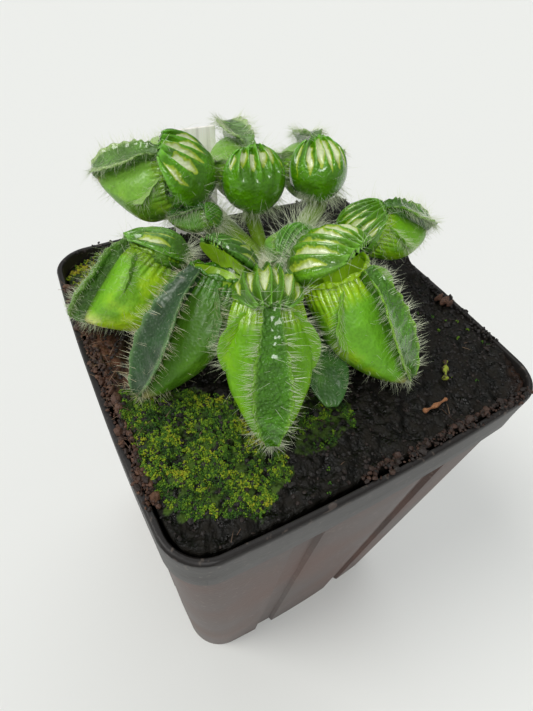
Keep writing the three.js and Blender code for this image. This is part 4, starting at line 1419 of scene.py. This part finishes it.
def make_moss():
    """Rosettes of tiny moss buds: green and yellow in front, orange-yellow at the left."""
    spots = []

    def rosette(x, y, buds, spread, low, high):
        own = rng.uniform(low, high) + 0.5 * ripple(vec(x, y, 0), 5, 21) - 0.04
        for _ in range(buds):
            r, a = spread * math.sqrt(rng.random()), rng.uniform(0, 2 * PI)
            bx, by = x + r * math.cos(a), y + r * math.sin(a)
            if max(abs(bx), abs(by)) > 43.4:
                continue
            size = rng.uniform(0.125, 0.24)
            lift = 0.35 * (1 - (r / spread) ** 2)
            spots.append((vec(bx, by, RIM + fine_soil(bx, by) + lift), size, rng.uniform(0.8, 1.5),
                          min(max(own + rng.uniform(-0.1, 0.1), 0), 1)))

    for shape, count, buds, low, high, gate in (
            (MAIN_MOSS, 2700, 9, 0.12, 0.75, -0.3), (FRONT_MOSS, 420, 8, 0.1, 0.55, 0.0),
            (LEFT_MOSS, 1100, 9, 0.5, 1.0, -0.3)):
        xs, ys = [p[0] for p in shape], [p[1] for p in shape]
        for _ in range(count):
            x, y = rng.uniform(min(xs), max(xs)), rng.uniform(min(ys), max(ys))
            clump = ripple(vec(x, y, 0), 3.2, 12)
            if inside(shape, x, y) and clump > gate:
                rosette(x, y, buds, rng.uniform(0.3, 0.6), low + 0.15 * clump, high)
    for x, y in LOOSE_MOSS:
        rosette(x, y, 6, 0.4, 0.3, 0.55)
    look = tone_look("moss_buds", [(0.014, 0.05, 0.003), (0.05, 0.16, 0.004), (0.18, 0.34, 0.008),
                                   (0.4, 0.5, 0.012), (0.5, 0.4, 0.02)], 0.85, 0.4)
    scatter("moss", spots, look, "mossy_wood", True)


def make_crumbs():
    """Peat crumbs all over, thickest along the edges, with some lying on the pot's lip."""
    spots = []
    for _ in range(5200):
        x, y = rng.uniform(-SOIL_HALF, SOIL_HALF), rng.uniform(-SOIL_HALF, SOIL_HALF)
        if math.hypot(x, y) > math.hypot(*soil_edge(math.atan2(y, x))):
            continue
        size = rng.uniform(0.14, 0.42) * (1.6 if rng.random() < 0.1 else 1)
        spots.append((vec(x, y, RIM + fine_soil(x, y) + size * 0.2), size, rng.uniform(0.5, 0.9),
                      rng.uniform(0, 0.35)))
    # over the lip, side by side, in loose drifts
    for side, low, high, count, rust in (("left", -32, 30, 900, 0.8), ("front", -8, 40, 420, 0.5),
                                         ("right", -30, 40, 360, 0.2), ("back", -40, 40, 160, 0.25)):
        for _ in range(count):
            run = rng.uniform(low, high)
            drift = ripple(vec(run, 7 * len(side), 0), 6, 2)
            out = LIP_START + rng.random() ** 1.6 * (2.3 + 1.1 * drift)
            x, y = {"left": (-out, run), "right": (out, run), "front": (run, -out), "back": (run, out)}[side]
            size = rng.uniform(0.14, 0.45 + 0.25 * max(drift, 0)) * (2 if rng.random() < 0.07 else 1)
            base = 0.05 if out > 43.5 else max(soil_height(x * 0.99, y * 0.99), -0.3)
            lift = 0.7 * rng.random() * max(drift + 0.4, 0) * (1 - (out - LIP_START) / 4)
            spots.append((vec(x, y, RIM + base + size * 0.35 + lift), size, rng.uniform(0.6, 1.0),
                          min(max(rust * rng.uniform(0.4, 1.3), 0), 1)))
    look = tone_look("peat_crumbs", [(0.005, 0.004, 0.0035), (0.013, 0.009, 0.007), (0.045, 0.021, 0.013),
                                     (0.1, 0.045, 0.025), (0.16, 0.075, 0.04)], 0.6, 0.7)
    scatter("crumbs", spots, look, "wet_peat", False)


def make_fibres():
    """Fine root fibres that stick out of the peat and over the lip at the left."""
    fibres = Hairs()
    for _ in range(190):
        if rng.random() < 0.6:
            x, y = -rng.uniform(40, 45), rng.uniform(-20, 30)
        else:
            x, y = rng.uniform(-43, 43), rng.uniform(-43, 43)
        a = rng.uniform(0, 2 * PI)
        way = vec(math.cos(a), math.sin(a), rng.uniform(0.0, 0.5))
        ground = fine_soil(x, y) if abs(x) < 43 else 0.3
        fibres.grow(vec(x, y, RIM + ground + 0.15), way, rng.uniform(1.0, 3.8), 0.06, rng.random())
    look, tree, skin = new_material("root_fibre")
    skin.inputs["Roughness"].default_value = 0.7
    join_nodes(tree, blend_colour(tree, own_value(tree), (0.07, 0.035, 0.02), (0.26, 0.17, 0.1)),
               skin.inputs["Base Color"])
    fibres.finish("root_fibres", look, "wet_peat")


def wood_look(name, dark, light, green=None):
    look, tree, skin = new_material(name)
    skin.inputs["Roughness"].default_value = 0.7
    streaks = noise_on(tree, 3, 5, stretched(tree, "UV", (14, 3, 1)))
    colour = blend_colour(tree, ramp(tree, streaks, 0.35, 0.7), dark, light)
    if green:
        colour = layers(tree, colour, (ramp(tree, noise_on(tree, 900), 0.48, 0.58), green))
    join_nodes(tree, colour, skin.inputs["Base Color"])
    add_relief(tree, skin, streaks, 0.7, 0.0003)
    return look


def make_stick(node, ends, radius, flat, look, slot, rows=40):
    """A knobby stick that lies on the peat."""
    x1, y1, x2, y2 = ends
    points = []
    for k in range(4):
        x, y = mix(x1, x2, k / 3), mix(y1, y2, k / 3)
        points.append(vec(x, y, RIM + soil_height(x, y) + radius + 0.55))
    spine, ways = curve_points(points, rows)

    def place(u, v):
        k = int(round(v * rows))
        sideways, upward = tube_frame(ways[k])
        a = u * 2 * PI
        r = radius * (0.75 + 0.35 * math.sin(v * 12.6 + 1))
        r *= 1 + 0.16 * ripple(vec(math.cos(a) * 1.5, math.sin(a) * 1.5, v * 9), 0.8, radius)
        r *= smooth(min(v, 1 - v), -0.02, 0.05)
        return spine[k] + sideways * (r * flat * math.cos(a)) + upward * (r * math.sin(a))

    piece = close_ends(shaped_sheet(node + "_fine", 28, rows, place, look))
    close_seams(piece)
    finish_piece(piece, slot, node)


def make_litter():
    make_stick("dry_twig", (12, -37.5, 19.5, -37), 0.5, 1.0,
               wood_look("dry_twig_bark", (0.2, 0.07, 0.03), (0.5, 0.24, 0.1)), "dead_wood")
    make_stick("mossy_twig", (23, -33, 26.5, -29), 0.7, 1.0,
               wood_look("mossy_twig_bark", (0.03, 0.018, 0.012), (0.1, 0.06, 0.03), (0.3, 0.36, 0.03)),
               "mossy_wood")
    make_stick("bark_chip", (41.5, -11, 42, -15), 1.1, 1.5,
               wood_look("bark_chip_bark", (0.04, 0.02, 0.013), (0.15, 0.07, 0.04)), "dead_wood")


# ------------------------------------------------------------------ the plant label

def make_label():
    """A white plastic plant label, with a pointed foot hidden in the peat."""
    half, top, root, depth = 6.5, 28, -28, 0.8
    bpy.ops.mesh.primitive_cube_add(size=1, location=(0, 0, (top + root) / 2))
    label = bpy.context.object
    label.name = "plant_label_fine"
    label.scale = (2 * half, depth, top - root)
    bpy.ops.object.transform_apply(location=True, rotation=False, scale=True)
    bpy.ops.object.mode_set(mode="EDIT")
    for place, way in (((0, 0, root + 9), (0, 0, 1)), ((0, 0, 0), (1, 0, 0))):
        bpy.ops.mesh.select_all(action="SELECT")
        bpy.ops.mesh.bisect(plane_co=place, plane_no=way)
    bpy.ops.object.mode_set(mode="OBJECT")
    for v in label.data.vertices:
        if v.co.z < root + 1 and abs(v.co.x) > 1:
            v.co.x *= 0.06
    apply_modifier(label, "round_edges", "BEVEL", width=0.28, segments=3, limit_method="ANGLE")
    lean = Matrix.Rotation(-math.radians(5), 4, "X")
    label.data.transform(Matrix.Translation(vec(-5, 40.8, RIM)) @ lean)
    label.data.materials.append(label_look())
    smooth_below(label, 35)
    finish_piece(label, "label_plastic", "plant_label")


def label_look():
    """White plastic with faint streaks, and a faint glow of painted light standing in for the light that
    comes through it.
    """
    look, tree, skin = new_material("label_plastic_fine")
    streaks = noise_on(tree, 1, 2.0, stretched(tree, "Object", (700, 300, 40)))
    colour = blend_colour(tree, ramp(tree, streaks, 0.4, 0.75), (0.82, 0.79, 0.75), (0.58, 0.55, 0.51))
    join_nodes(tree, colour, skin.inputs["Base Color"])
    # Painted light: the label glows faintly in its own colour.
    join_nodes(tree, colour, skin.inputs["Emission Color"])
    skin.inputs["Emission Strength"].default_value = 0.3
    join_nodes(tree, ramp(tree, streaks, 0.0, 1.6), skin.inputs["Roughness"])
    return look


set_camera()
set_studio()
HAIR = hair_skin()
make_pot()
make_peat()
make_moss()
make_crumbs()
make_fibres()
make_litter()
make_label()
make_crown(HAIR)
make_small_leaf(HAIR)
make_pitchers(HAIR)
